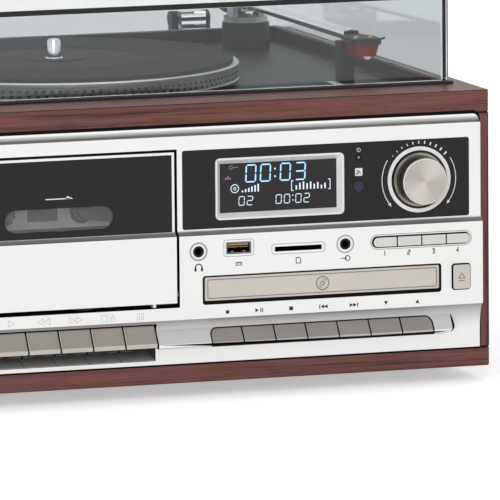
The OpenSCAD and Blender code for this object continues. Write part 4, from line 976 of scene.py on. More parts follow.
def build_marks():
    """Printed and embossed generic symbols on the silver front."""
    face = FACE
    print_depth = (face, face + bpy.context.scene.mc_front.mark / MM)
    ink = Shape()
    # seven keys: record dot, play and pause, stop, back, forward, down, up
    z = 37.0
    mid = [mid_x("key_%d" % i) for i in range(1, 8)]

    def tri(x, zc, w, h, way):
        if way in "<>":
            d = w / 2 if way == ">" else -w / 2
            ink.plate([(x - d, zc - h / 2), (x + d, zc), (x - d, zc + h / 2)], *print_depth)
        else:
            d = h / 2 if way == "^" else -h / 2
            ink.plate([(x - w / 2, zc - d), (x + w / 2, zc - d), (x, zc + d)], *print_depth)

    ink.plate(disc(mid[0], z, 1.0), *print_depth)
    for x, w, h, way in ((mid[1] - 1.2, 1.9, 2.1, ">"), (mid[3] + 1.6, 2.0, 2.1, "<"),
                         (mid[3] - 0.3, 2.0, 2.1, "<"), (mid[4] - 1.6, 2.0, 2.1, ">"),
                         (mid[4] + 0.3, 2.0, 2.1, ">"), (mid[5], 2.2, 2.0, "v"), (mid[6], 2.2, 2.0, "^")):
        tri(x, z, w, h, way)
    bar = (0.5, 2.1)
    for x, size in ((mid[1] + 0.8, bar), (mid[1] + 1.8, bar), (mid[2], (2.0, 2.0)), (mid[3] - 1.7, bar),
                    (mid[4] + 1.7, bar)):
        ink.plate(rect(x, z, *size), *print_depth)
    # four function buttons: plain figures
    for i in range(1, 5):
        number(ink, str(i), mid_x("button_%d" % i), 61.8, 1.15, 2.2, 0.48, *print_depth, 1.6)
    # sockets: headphone bow, serial plug outline, card outline, arrow into a ring
    x0, x1 = span("jack_sockets")[:2]
    phone, aux = x0 + 5, x1 - 5
    zi = 60.6
    ink.wire(arc(phone, zi + 0.2, 1.75, -15, 195, 14), 0.6, *print_depth)
    for sgn in (-1, 1):
        ink.plate(round_box(phone + sgn * 1.75 - 0.55, phone + sgn * 1.75 + 0.55, zi - 1.8, zi + 0.1, 0.3, 3),
                  *print_depth)
    ux, cx = mid_x("usb_socket"), mid_x("card_socket")
    ink.wire(rect(ux, 61.7, 3.0, 1.4), 0.4, *print_depth, True)
    for x in (ux - 0.6, ux + 0.6):
        ink.plate(rect(x, 61.95, 0.7, 0.35), *print_depth)
    ink.wire([(cx - 1.2, 60.4), (cx + 1.2, 60.4), (cx + 1.2, 62.5), (cx + 0.4, 63.3), (cx - 1.2, 63.3)], 0.42,
             *print_depth, True)
    ink.wire(disc(aux + 1.2, 61.6, 1.3, 20), 0.42, *print_depth, True)
    ink.wire([(aux - 2.6, 61.6), (aux + 0.6, 61.6)], 0.42, *print_depth)
    tri(aux + 0.4, 61.6, 1.0, 1.4, ">")
    ink.make("front_marks", "ink", "cabinet", "black_matte")

    # embossed outlines above the six piano keys and round the sockets
    rise = (face, face + 0.16)
    em = Shape()
    z = 37.1
    cols = [mid_x(name) for name in PIANO_KEYS]
    h = 1.6

    def tri_line(x, way):
        d = 1.5 * way
        em.wire([(x - d, z - h), (x + d, z), (x - d, z + h)], 0.3, *rise, True)

    em.wire(disc(cols[0], z, 1.6, 24), 0.3, *rise, True)
    tri_line(cols[1], 1)
    for k in (-1.8, 1.8):
        tri_line(cols[2] + k, -1)
        tri_line(cols[3] + k, 1)
    em.wire(rect(cols[4] - 2.1, z, 3.0, 2 * h), 0.3, *rise, True)
    em.wire([(cols[4] + 0.9, z - 0.4), (cols[4] + 3.9, z - 0.4), (cols[4] + 2.4, z + h)], 0.3, *rise, True)
    em.wire([(cols[4] + 0.9, z - h), (cols[4] + 3.9, z - h)], 0.3, *rise)
    for k in (-1.1, 1.1):
        em.wire(rect(cols[5] + k, z, 1.1, 2 * h), 0.3, *rise, True)
    em.make("key_symbols", "emboss", "cabinet", "silver", round_edges=0.04, steps=1)

    rims = Shape()
    for x in (phone, aux):
        ring = [(4.1, -0.02), (4.1, 0.12), (4.3, 0.16), (4.75, 0.16), (4.85, -0.02)]
        rims.lathe([(radius, face + up) for radius, up in ring], (x, 0, 69), "p", 48, closed=True)
    u = span("usb_socket")
    for x0, x1, z0, z1, r in ((u[0] - 1.5, u[1] + 1.5, 70 - 4.3, 70 + 4.3, 1.4),
                              (cx - 14.4, cx + 14.4, 68.2 - 2.6, 68.2 + 2.6, 1.6)):
        rims.wire(round_box(x0, x1, z0, z1, r), 0.3, face - 0.02, face + 0.14, True)
    rims.wire(round_box(92.2, 147.6, 69 - 3.8, 69 + 3.8, 3.7, 8), 0.36, face - 0.02, face + 0.1, True)
    rims.make("socket_rims", "silver_line", "cabinet", "silver")


def build_display():
    """Display, lamp, infrared window, knob ring and the prints round them."""
    softened("display_panel", "cabinet", "black_gloss", 0.25, 2)
    softened("display_frame", "cabinet", "frame_silver", 0.3, 3)
    softened("knob_ring", "cabinet", "white", 0.15, 2)
    dress("lens", "display_lens")
    softened("status_lamp", "cabinet", "black_gloss", 0.3, 2)
    la = span("status_lamp")
    tip = Shape()
    tip.lathe([(0, la[3] + 0.12), (0.45, la[3] + 0.08), (0.7, la[3] - 0.02), (0.7, la[3] - 0.2),
               (0, la[3] - 0.2)],
              ((la[0] + la[1]) / 2, 0, (la[4] + la[5]) / 2), "p", 24)
    tip.make("lamp_tip", "lamp", "cabinet", "lamp")
    softened("remote_window", "cabinet", "infrared", 0.25, 2)
    # lit figures
    lx0, lx1, _, lp, lz0, lz1 = span("display_lens")
    cx, cz = (lx0 + lx1) / 2, (lz0 + lz1) / 2
    glass = (lp, lp + 0.03)
    lcd = Shape()
    for ch, x in (("0", 25.9), ("0", 33.8), ("0", 44.6), ("3", 52.7)):
        digit(lcd, ch, x - 43.9 + cx, cz + 2.4, 5.9, 9.4, 0.72, *glass, 0.05)
    for z in (cz + 5.0, cz + 9.0):
        lcd.plate(disc(cx - 1.7, z, 0.5, 12), *glass)
    lcd.make("display_figures", "glow", "cabinet", "display_glass")
    lcd = Shape()
    for text, x in (("02", 22.2), ("0002", 42.3)):
        for i, ch in enumerate(text):
            gap = 1.7 if len(text) == 4 and i > 1 else 0
            digit(lcd, ch, x - 43.9 + cx + i * 4.5 + gap, cz - 9.4, 3.3, 4.9, 0.42, *glass, 0.05)
    for z in (cz - 8.1, cz - 5.6):
        lcd.box(cx + 7.6, cx + 8.2, *glass, z, z + 0.6)
    # disc pictogram, level bars and a bracket
    lcd.wire(disc(20.3 - 43.9 + cx, cz - 0.4, 2.1, 24), 0.42, *glass, True)
    lcd.wire(disc(20.3 - 43.9 + cx, cz - 0.4, 0.7, 12), 0.36, *glass, True)
    for i in range(6):
        lcd.box(cx - 19.8 + i * 1.7, cx - 19.0 + i * 1.7, *glass, cz - 2.5, cz - 1.6 + i * 0.62)
    for i in range(9):
        tall = (2.2, 3.4, 4.0, 3.0, 3.8, 2.6, 3.4, 1.8, 2.8)[i]
        lcd.box(cx + 9.4 + i * 1.95, cx + 10.2 + i * 1.95, *glass, cz - 2.5, cz - 2.5 + tall)
    for x, s in ((cx + 7.2, 1), (cx + 28.2, -1)):
        lcd.wire([(x + s * 1.1, cz + 2.2), (x, cz + 2.2), (x, cz - 2.9), (x + s * 1.1, cz - 2.9)], 0.4,
                 *glass)
    lcd.make("display_symbols", "glow_soft", "cabinet", "display_glass")
    faint = Shape()
    faint.wire(disc(cx - 25.5, cz + 10.6, 0.9, 16), 0.3, *glass, True)
    faint.wire([(cx - 24.2, cz + 10.6), (cx - 21.8, cz + 10.6)], 0.35, *glass)
    for i in range(3):
        faint.box(cx - 28.9 + i * 1.2, cx - 28.1 + i * 1.2, *glass, cz + 4.4, cz + 5.4 + (i % 2) * 0.8)
    faint.make("display_faint", "lamp", "cabinet", "display_glass")
    # dark shadow line between the frame's lip and the glass
    Shape().wire(round_box(lx0 + 0.2, lx1 - 0.2, lz0 + 0.2, lz1 - 0.2, 1.2, 4), 0.5, lp - 0.02, lp + 0.12,
                 True).make("display_line", "gap", "cabinet", "display_glass")

    # white prints on the black panel
    face = UPPER + 0.2
    t = bpy.context.scene.mc_front.mark / MM
    flat = (face, face + t)
    kx0, kx1, _, _, kz0, kz1 = span("volume_knob")
    kx, kz = (kx0 + kx1) / 2, (kz0 + kz1) / 2
    pr = Shape()
    for a0, a1, way in ((148, 216, 1), (32, -36, -1)):
        pts = arc(kx, kz, 20.2, a0, a1, 24)
        pr.wire(pts, 0.42, *flat)
        a = math.radians(a1)
        tip = Vector((kx + 20.2 * math.cos(a), kz + 20.2 * math.sin(a)))
        d = Vector((-math.sin(a), math.cos(a))) * way
        n = Vector((math.cos(a), math.sin(a)))
        pr.plate([(tip - n * 0.85)[:], (tip + n * 0.85)[:], (tip + d * 2.1)[:]], *flat)
    for i in range(11):
        a = math.radians(138 - i * 9.6)
        n = Vector((math.cos(a), math.sin(a)))
        d = Vector((-n.y, n.x))
        c = Vector((kx, kz))
        k = 0.16 + 0.028 * i
        r0, r1 = 18.6, 19.6 + 0.09 * i
        pr.plate([(c + n * r0 - d * k)[:], (c + n * r1 - d * k)[:], (c + n * r1 + d * k)[:],
                  (c + n * r0 + d * k)[:]],
                 *flat)
    lx = mid_x("status_lamp")
    # power symbol over the lamp, receiver symbol over the window
    pr.wire(arc(lx, 117.2, 0.95, 125, 415, 18), 0.26, *flat)
    pr.wire([(lx, 117.2), (lx, 118.5)], 0.26, *flat)
    pr.plate(round_box(lx - 2.0, lx + 2.0, 103.7, 107.7, 0.3, 3), *flat)
    pr.make("panel_prints", "ink_white", "cabinet", "white")
    waves = Shape()
    over = (face + t, face + t + 0.03)
    for r in (1.1, 1.95):
        waves.wire(arc(lx - 1.1, 104.6, r, 0, 90, 8), 0.42, *over)
    waves.plate(disc(lx - 0.95, 104.75, 0.42, 10), *over)
    waves.make("receiver_waves", "ink", "cabinet", "black_matte")


def build_knob():
    """Knob in four turned pieces: side, skirt, cap and lip."""
    x0, x1, _, p1, z0, z1 = span("volume_knob")
    cx, cz = (x0 + x1) / 2, (z0 + z1) / 2
    f = (x1 - x0) / 2
    r = f - 1.9
    base = 4.6
    body = Shape()
    body.lathe([(0, base - 11.9), (3, base - 11.9), (3, base + 1.9), (r + 0.95, base + 1.9),
                (r + 0.75, base + 1.75),
                (r + 0.45, base + 1.9), (r + 0.3, base + 2.6), (r + 0.2, base + 3.2), (r + 0.05, p1 - 1.6),
                (r + 0.05, p1 - 0.9), (r - 0.05, p1 - 0.62), (r - 0.35, p1 - 0.6), (0, p1 - 0.6)],
                (cx, 0, cz), "p", 128)
    body.make("volume_knob_side", "knob_side", "volume_knob", "aluminium", ("volume_knob",), sharp=30)
    skirt = Shape()
    skirt.lathe([(3, base), (f - 0.25, base), (f, base + 0.25), (f, base + 0.75), (r + 1.15, base + 1.95),
                 (r + 0.9, base + 1.95), (r + 0.6, base + 1.7), (3, base + 1.7)], (cx, 0, cz), "p", 128,
                 closed=True)
    skirt.make("volume_knob_skirt", "knob_flange", "volume_knob", "aluminium", sharp=24)
    cap = Shape()
    cap.lathe([(0, p1 - 0.62), (r - 0.3, p1 - 0.62), (r, p1 - 0.45), (r, p1 - 0.3), (r - 0.28, p1 - 0.04),
               (r - 0.5, p1), (r - 0.9, p1), (r - 1.15, p1 - 0.14), (1.2, p1 - 0.26), (0.9, p1 - 0.3),
               (0, p1 - 0.42)],
              (cx, 0, cz), "p", 128)
    cap.make("volume_knob_cap", "knob_cap", "volume_knob", "aluminium", sharp=24)
    # lip round the cap in a lighter finish: painted highlight
    lip = Shape()
    lip.lathe([(r - 0.9, p1 - 0.02), (r - 0.5, p1 + 0.02), (r - 0.2, p1 - 0.05), (r + 0.04, p1 - 0.3),
               (r + 0.04, p1 - 0.5),
               (r - 0.9, p1 - 0.5)], (cx, 0, cz), "p", 128, closed=True)
    lip.make("volume_knob_lip", "knob_edge", "volume_knob", "aluminium", sharp=60)


def build_sockets():
    """Jacks, the USB socket with its tongue and contacts, and the card slot."""
    softened("jack_sockets", "cabinet", "socket", 0.25, 2)
    softened("usb_socket", "cabinet", "zinc", 0.12, 2)
    dress("socket", "card_socket")
    u = span("usb_socket")
    ux, cx = mid_x("usb_socket"), mid_x("card_socket")
    Shape().box(ux - 5.5, ux + 5.5, -8, 5.72, 70.35, 71.85).make("usb_tongue", "socket", "cabinet",
                                                                 "black_matte", round_edges=0.15)
    liner = Shape()
    x0, x1, z0, z1 = u[0] + 0.42, u[1] - 0.42, u[4] + 0.42, u[5] - 0.42
    for a in ((x0, x0 + 0.08, z0, z1), (x1 - 0.08, x1, z0, z1), (x0, x1, z0, z0 + 0.08),
              (x0, x1, z1 - 0.08, z1)):
        liner.box(a[0], a[1], -9, 6.6, a[2], a[3])
    liner.box(x0, x1, -9, -8.6, z0, z1)
    liner.make("usb_liner", "socket", "cabinet", "black_matte")
    pins = Shape()
    for i in range(4):
        pins.box(ux - 4.3 + i * 2.4, ux - 2.9 + i * 2.4, -4, 5.74, 70.2, 70.45)
    pins.box(ux - 5.3, ux + 5.3, 5.0, 5.9, 71.3, 71.95)
    for sgn in (-1, 1):
        pins.box(ux + sgn * 3.1 - 0.8, ux + sgn * 3.1 + 0.8, 3.0, 6.0, 67.9, 68.3)
    pins.make("usb_contacts", "brass", "cabinet", "steel")
    card = Shape()
    for i in range(9):
        card.box(cx - 10.6 + i * 2.5, cx - 9.6 + i * 2.5, -20, -3, 69.0, 69.3)
    card.make("card_contacts", "brass", "cabinet", "steel")


def build_drawer():
    """Disc drawer with its trim, painted shade in the gap round it, and the eject button."""
    edge = bpy.context.scene.mc_front.key_edge / MM
    softened("disc_tray", "disc_tray", "beige", 0.35, 3)
    x0, x1, _, p1, _, _ = span("disc_tray")
    z0, z1 = 43.2, 55.4
    trim = Shape()
    trim.wire(round_box(x0 + 1.5, x1 - 1.5, z0 + 1.3, z1 - 1.3, 0.7, 4), 0.4, p1 - 0.02, p1 + 0.1, True)
    cx, cz = (x0 + x1) / 2, (z0 + z1) / 2
    # disc pictogram
    trim.wire(disc(cx, cz, 3.4, 40), 0.5, p1 - 0.02, p1 + 0.12, True)
    trim.wire(disc(cx, cz, 1.0, 20), 0.45, p1 - 0.02, p1 + 0.12, True)
    for a in (35, 215):
        trim.wire(arc(cx, cz, 2.2, a, a + 50, 8), 0.4, p1 - 0.02, p1 + 0.12)
    trim.make("drawer_trim", "dark_trim", "disc_tray", "beige")
    # black strip of painted shade in the gap round the drawer, and the rounded corners of its opening
    drawer_shade = Shape()
    ox0, ox1, oz0, oz1 = x0 - 1.2, x1 + 1.2, 41.3, 56.2
    c = 0.16
    drawer_shade.box(ox0, x0 - c, 4, FACE - 0.15, oz0, oz1)
    drawer_shade.box(x1 + c, ox1, 4, FACE - 0.15, oz0, oz1)
    drawer_shade.box(x0 - c, x1 + c, 4, FACE - 0.15, oz0, z0 - c)
    drawer_shade.box(x0 - c, x1 + c, 4, FACE - 0.15, z1 + c, oz1)
    drawer_shade.make("drawer_gap_shade", "gap", "cabinet", "black_matte")
    corner = Shape()
    r = 1.4
    for x, z, sx, sz, a in ((ox1, oz1, 1, 1, 0), (ox0, oz1, -1, 1, 90), (ox0, oz0, -1, -1, 180),
                            (ox1, oz0, 1, -1, 270)):
        corner.plate([(x, z)] + arc(x - sx * r, z - sz * r, r, a, a + 90, 6), FACE - 1.0, FACE)
    corner.make("drawer_corners", "silver", "cabinet", "silver")
    softened("eject_button", "eject_button", ["beige", "gap"], edge * 0.8, 2, edit=dark_sides)
    e = span("eject_button")
    ex, ez = (e[0] + e[1]) / 2, (e[4] + e[5]) / 2
    mark = Shape()
    mark.wire([(ex - 1.6, ez - 0.7), (ex + 1.6, ez - 0.7), (ex, ez + 2.0)], 0.42, e[3] - 0.02, e[3] + 0.06,
              True)
    mark.wire([(ex - 1.7, ez - 2.0), (ex + 1.7, ez - 2.0)], 0.42, e[3] - 0.02, e[3] + 0.06)
    mark.make("eject_mark", "dark_trim", "eject_button", "black_matte")


def build_buttons():
    """Four function buttons with painted shade on their sides."""
    edge = bpy.context.scene.mc_front.key_edge / MM
    for i in range(1, 5):
        softened("button_%d" % i, "button_%d" % i, ["button", "gap"], edge * 0.8, 2, edit=dark_sides)


def key_faces(bm):
    """Painted shade on the sides and a painted highlight on the upright lip along the foot of a right key."""
    dark_sides(bm)
    for f in bm.faces:
        if f.normal.y < -0.97 and f.calc_center_median().z < at(0, 0, KEY_LIP_TOP + 0.2).z:
            f.material_index = 2


def build_right_keys():
    """Seven slanted keys under the drawer."""
    edge = bpy.context.scene.mc_front.key_edge / MM

    for i in range(1, 8):
        softened("key_%d" % i, "key_%d" % i, ["taupe", "gap", "taupe_lip_highlight"], edge, 3,
                 edit=key_faces)


def build_piano_keys():
    """Six cassette keys: a dished slanted face over an upright lip, and a hinge barrel."""
    s = bpy.context.scene.mc_front
    for name in PIANO_KEYS:
        x0, x1, _, lip, _, top = span(name)
        z_lip = 20.6
        k = Shape()
        a, b = (3.5, top), (lip, z_lip + 1.7)
        dish = s.dish / MM
        w = x1 - x0
        length = math.hypot(b[0] - a[0], b[1] - a[1])
        inward = ((b[1] - a[1]) / length, -(b[0] - a[0]) / length)
        cols = [0, 0.5, 0.75, 1.2] + [1.2 + (w - 2.4) * i / 10 for i in range(1, 10)] + [w - 1.2, w - 0.75,
                                                                                         w - 0.5, w]
        nx = len(cols) - 1
        pts, faces = [], []
        rows = [(0, 0), (0.04, 0), (0.12, 0), (0.24, 0), (0.38, 0), (0.52, 0), (0.66, 0), (0.78, 0),
                (-0.09, 1),
                (-0.055, 1), (-0.034, 1), (0, 1), (0.012, 1), (1, 0)]
        nz = len(rows) - 1
        for v0, bound in rows:
            for x in cols:
                low = 0.925 + 0.022 * (2 * x / w - 1) ** 2
                v = low + v0 if bound else v0
                d = smoothstep(min(x, w - x), 0.5, 1.2) * smoothstep(v, 0.02,
                                                                     0.3) * (1 - smoothstep(v, low - 0.04,
                                                                                            low))
                pts.append((x0 + x, a[0] + (b[0] - a[0]) * v + inward[0] * dish * d,
                            a[1] + (b[1] - a[1]) * v + inward[1] * dish * d))
        kinds = []
        for j in range(nz):
            for i in range(nx):
                q = j * (nx + 1) + i
                faces.append((q, q + 1, q + nx + 2, q + nx + 1))
                # painted shade along the crease; painted highlight on the lip rows and the left edge
                crease_shade = rows[j] == (-0.034, 1) and 0.08 * w < cols[i] and cols[i + 1] < 0.92 * w
                pale = rows[j] in ((0, 1), (0.012, 1)) or i == 0
                kinds.append(2 if crease_shade else 3 if pale else 0)
        rest = [(lip, z_lip), (lip - 1.8, z_lip), (1, top - 5.2), (-27, top - 5.2), (-27, top)]
        n = len(pts)
        for x in (x0, x1):
            pts += [(x, p, z) for p, z in rest]
        m = len(rest)
        left = [j * (nx + 1) for j in range(nz + 1)] + [n + i for i in range(m)]
        right = [j * (nx + 1) + nx for j in range(nz + 1)] + [n + m + i for i in range(m)]
        faces.append(tuple(left))
        faces.append(tuple(reversed(right)))
        low_row = [nz * (nx + 1) + i for i in range(nx + 1)]
        top_row = list(range(nx + 1))
        faces.append(tuple(low_row) + (n + m, n))
        for i in range(m - 1):
            faces.append((n + i, n + m + i, n + m + i + 1, n + i + 1))
        faces.append((n + m - 1, n + 2 * m - 1) + tuple(reversed(top_row)))
        k.add(pts, faces)
        # sides and hidden faces black for painted shade, the upright lip with the painted highlight
        kinds += [1, 1, 3] + [1] * m
        k.kinds[-len(faces):] = kinds
        k.kind = 1
        hub = 3.1
        zr = top - 3.2
        k.lathe([(1.55, x0), (hub, x0), (hub, x1), (1.55, x1)], (0, -27, zr), "x", 32, closed=True)
        k.make(name + "_skin", ["piano", "gap", "crease_shade", "piano_lip_highlight"], name, "key_taupe", (name,),
               round_edges=s.key_edge / MM * 0.8, steps=2, angle=40, sharp=32)


def smoothstep(x, a, b):
    t = max(0.0, min(1.0, (x - a) / (b - a)))
    return t * t * (3 - 2 * t)


def build_door():
    """Cassette door, its black panel and window, and the tape arrow."""
    def slanted_edge(bm):
        bm.normal_update()
        for f in bm.faces:
            if on_ledge(f):
                f.material_index = 1
    # the slanted ledge gets the silver with painted shade
    softened("cassette_door", "cassette_door", ["silver", "silver_ledge_shade"], 0.25, 2, 30,
             slanted_edge)
    softened("door_panel", "cassette_door", "black_gloss", 0.15, 2)
    softened("door_window", "cassette_door", "window", 0.15, 2)
    dress("black_matte", "cassette_pocket")
    flat = (UPPER, UPPER + bpy.context.scene.mc_front.mark / MM)
    cx = DOOR_MIDDLE
    arrow = Shape()
    arrow.wire([(cx - 7.2, 99.6), (cx + 6.0, 99.6)], 0.55, *flat)
    arrow.plate([(cx + 3.6, 99.4), (cx + 7.6, 99.4), (cx + 4.4, 101.0)], *flat)
    arrow.make("tape_arrow", "ink_white", "cassette_door", "white")


def build_deck():
    """Plate behind the door with the reels' wells, tape head and guides."""
    hub_z = (span("reel_left")[4] + span("reel_left")[5]) / 2
    hub_x = [mid_x("reel_left"), mid_x("reel_right")]

    def reel_wells(bm):
        bm.normal_update()
        for f in bm.faces:
            c = f.calc_center_median()
            near = min((c - at(x, 0, hub_z)).xz.length for x in hub_x) < 11.7 * MM
            if near and c.y > at(0, -27.4, 0).y:
                f.material_index = 1
    softened("deck_plate", "cabinet", ["deck_grey", "reel"], 0.3, 2, edit=reel_wells)
    dress("reel", "reel_left", "reel_right")
    dress("zinc", "flywheel")
    d = Shape()
    cx = DOOR_MIDDLE
    p = TAPE_PLATE
    # tape head
    d.box(cx - 6, cx + 6, p + 8.9, p + 11.5, 55.5, 62.5)
    d.make("tape_head", "chrome", "cabinet", "chrome", round_edges=0.8, steps=3)
    # pale raised plate between the two reels
    pale = Shape()
    cut = 6.5
    right = [(cx + 18.4, 97.2)] + arc(cx + REEL_OUT, hub_z, cut, 118, 310, 18) + [(cx + 36, 82.4),
                                                                                  (cx + 36, 80.2)]
    left = [(2 * cx - x, z) for x, z in right[::-1]]
    pale.plate(right + left, p, p + 0.7)
    pale.make("deck_relief", "deck_light", "cabinet", "silver", round_edges=0.2)
    g = Shape()
    for x in (cx - 11, cx + 11):
        g.lathe([(0, p), (2.2, p), (2.2, p + 4), (1.4, p + 4.4), (0, p + 4.4)], (x, 0, 58), "p", 24)
    g.lathe([(0, p), (3.4, p), (3.8, p + 0.5), (3.8, p + 7.5), (3.4, p + 8), (0, p + 8)],
            (cx + 30.5, 0, 60.3), "p", 28)
    g.make("tape_guides", "rubber", "cabinet", "rubber")
    hubs = Shape()
    for x in (cx - REEL_OUT, cx + REEL_OUT):
        for a in range(12):
            w = math.radians(a * 30)
            u, v = x + 4.1 * math.cos(w), 88.6 + 4.1 * math.sin(w)
            hubs.box(u - 0.35, u + 0.35, p + 1.15, p + 1.35, v - 0.35, v + 0.35)
    hubs.make("hub_dots", "plate_grey", "cabinet", "silver")


def build_turntable():
    """Deck, platter, grooved mat, spindle, strobe dots and speed lever."""
    s = bpy.context.scene.mc_turntable
    softened("turntable_deck", "cabinet", "black_matte", 0.5, 3)
    dress("zinc", "platter_motor")
    x0, x1, pa, pb, zb, zt = span("platter")
    cx, cp = (x0 + x1) / 2, (pa + pb) / 2
    r = (x1 - x0) / 2
    mx0, mx1, _, _, mz0, mz1 = span("platter_mat")
    rm = (mx1 - mx0) / 2
    low = mz0 - 9.5
    pl = Shape()
    pl.lathe([(0, mz0 - 4), (r - 3.5, mz0 - 4), (r - 3.5, low), (r - 0.3, low), (r, low + 0.3),
              (r, low + 0.9),
              (r - 0.35, low + 1.2), (r - 0.35, mz0 - 2.6), (r, mz0 - 2.3), (r, mz0 - 0.7), (r - 0.7, mz0),
              (5, mz0), (0, mz0)],
             (cx, cp, 0), "z", 160)
    pl.lathe([(0, zb + 0.2), (2.8, zb), (3, zb + 0.2), (3, mz0 - 3.9), (0, mz0 - 3.9)], (cx, cp, 0), "z", 40)
    pl.make("platter_skin", "platter_top", "platter", "aluminium", ("platter",), sharp=30)
    pin = Shape()
    pin.lathe([(0, mz0 - 0.5), (4.78, mz0 - 0.5), (4.78, mz1 - 0.25), (4.55, mz1), (3.58, mz1),
               (3.58, zt - 1.6), (3.2, zt - 0.6),
               (2.2, zt - 0.1), (1.2, zt), (0, zt)], (cx, cp, 0), "z", 48)
    pin.make("spindle", "chrome", "platter", "chrome")
    dots = Shape()
    for row, z in ((0, low + 2.4), (1, low + 4.9)):
        n = s.dots + row * 12
        for i in range(n):
            a = 2 * math.pi * i / n
            c, q = math.cos(a), math.sin(a)
            w = 1.15
            ring = []
            for rr in (r - 0.36, r - 0.26):
                ring.append([(cx + rr * c - q * w * math.cos(b), cp + rr * q + c * w * math.cos(b),
                              z + w * math.sin(b) * 0.8)
                             for b in [k * math.pi / 3 for k in range(6)]])
            dots.prism(ring[0], ring[1])
    dots.make("strobe_dots", "black_matte", "platter", "black_matte")
    prof = [(5.2, mz0), (5.2, mz1 - 0.4), (5.6, mz1 - 0.1), (16, mz1 - 0.1), (16.6, mz1 - 0.7),
            (48, mz1 - 0.7), (48.6, mz1 - 0.1)]
    width = (rm - 3 - 49) / s.grooves
    for i in range(s.grooves):
        a = 49.5 + i * width
        prof += [(a, mz1), (a + width * 0.55, mz1), (a + width * 0.65, mz1 - 0.5),
                 (a + width * 0.9, mz1 - 0.5)]
    prof += [(rm - 2.6, mz1), (rm - 0.6, mz1), (rm, mz1 - 0.6), (rm, mz0)]
    Shape().lathe(prof, (cx, cp, 0), "z", 160, closed=True).make("mat_skin", "rubber", "platter", "rubber",
                                                                 ("platter_mat",), sharp=30)

    # speed lever with its figures, and the deck's screws
    softened("speed_lever", "speed_lever", "aluminium", 0.4, 3)
    lx0, lx1, lp0 = span("speed_lever")[:3]
    lx = (lx0 + lx1) / 2
    lp = lp0 + 8
    deck = DECK_TOP
    num = Shape()
    number(num, "33", lx - 14, lp + 11.5, 1.5, 3.0, 0.4, deck, deck + 0.06, 2.4, flat=True)
    number(num, "45", lx + 1.5, lp + 17.0, 1.5, 3.0, 0.4, deck, deck + 0.06, 2.4, flat=True)
    for a in (90, 130):
        w = math.radians(a)
        num.wire([(lx + 10 * math.cos(w), lp + 10 * math.sin(w)),
                  (lx + 12.5 * math.cos(w), lp + 12.5 * math.sin(w))], 0.45,
                 deck, deck + 0.06, flat=True)
    num.make("speed_figures", "ink_white", "cabinet", "white")
    sc = Shape()
    for x in (-138, 138):
        for p in (-44, -304):
            screw(sc, x, p, deck, 2.6, "deck")
    sc.make("deck_screws", ["zinc", "black_matte"], "cabinet", "steel")


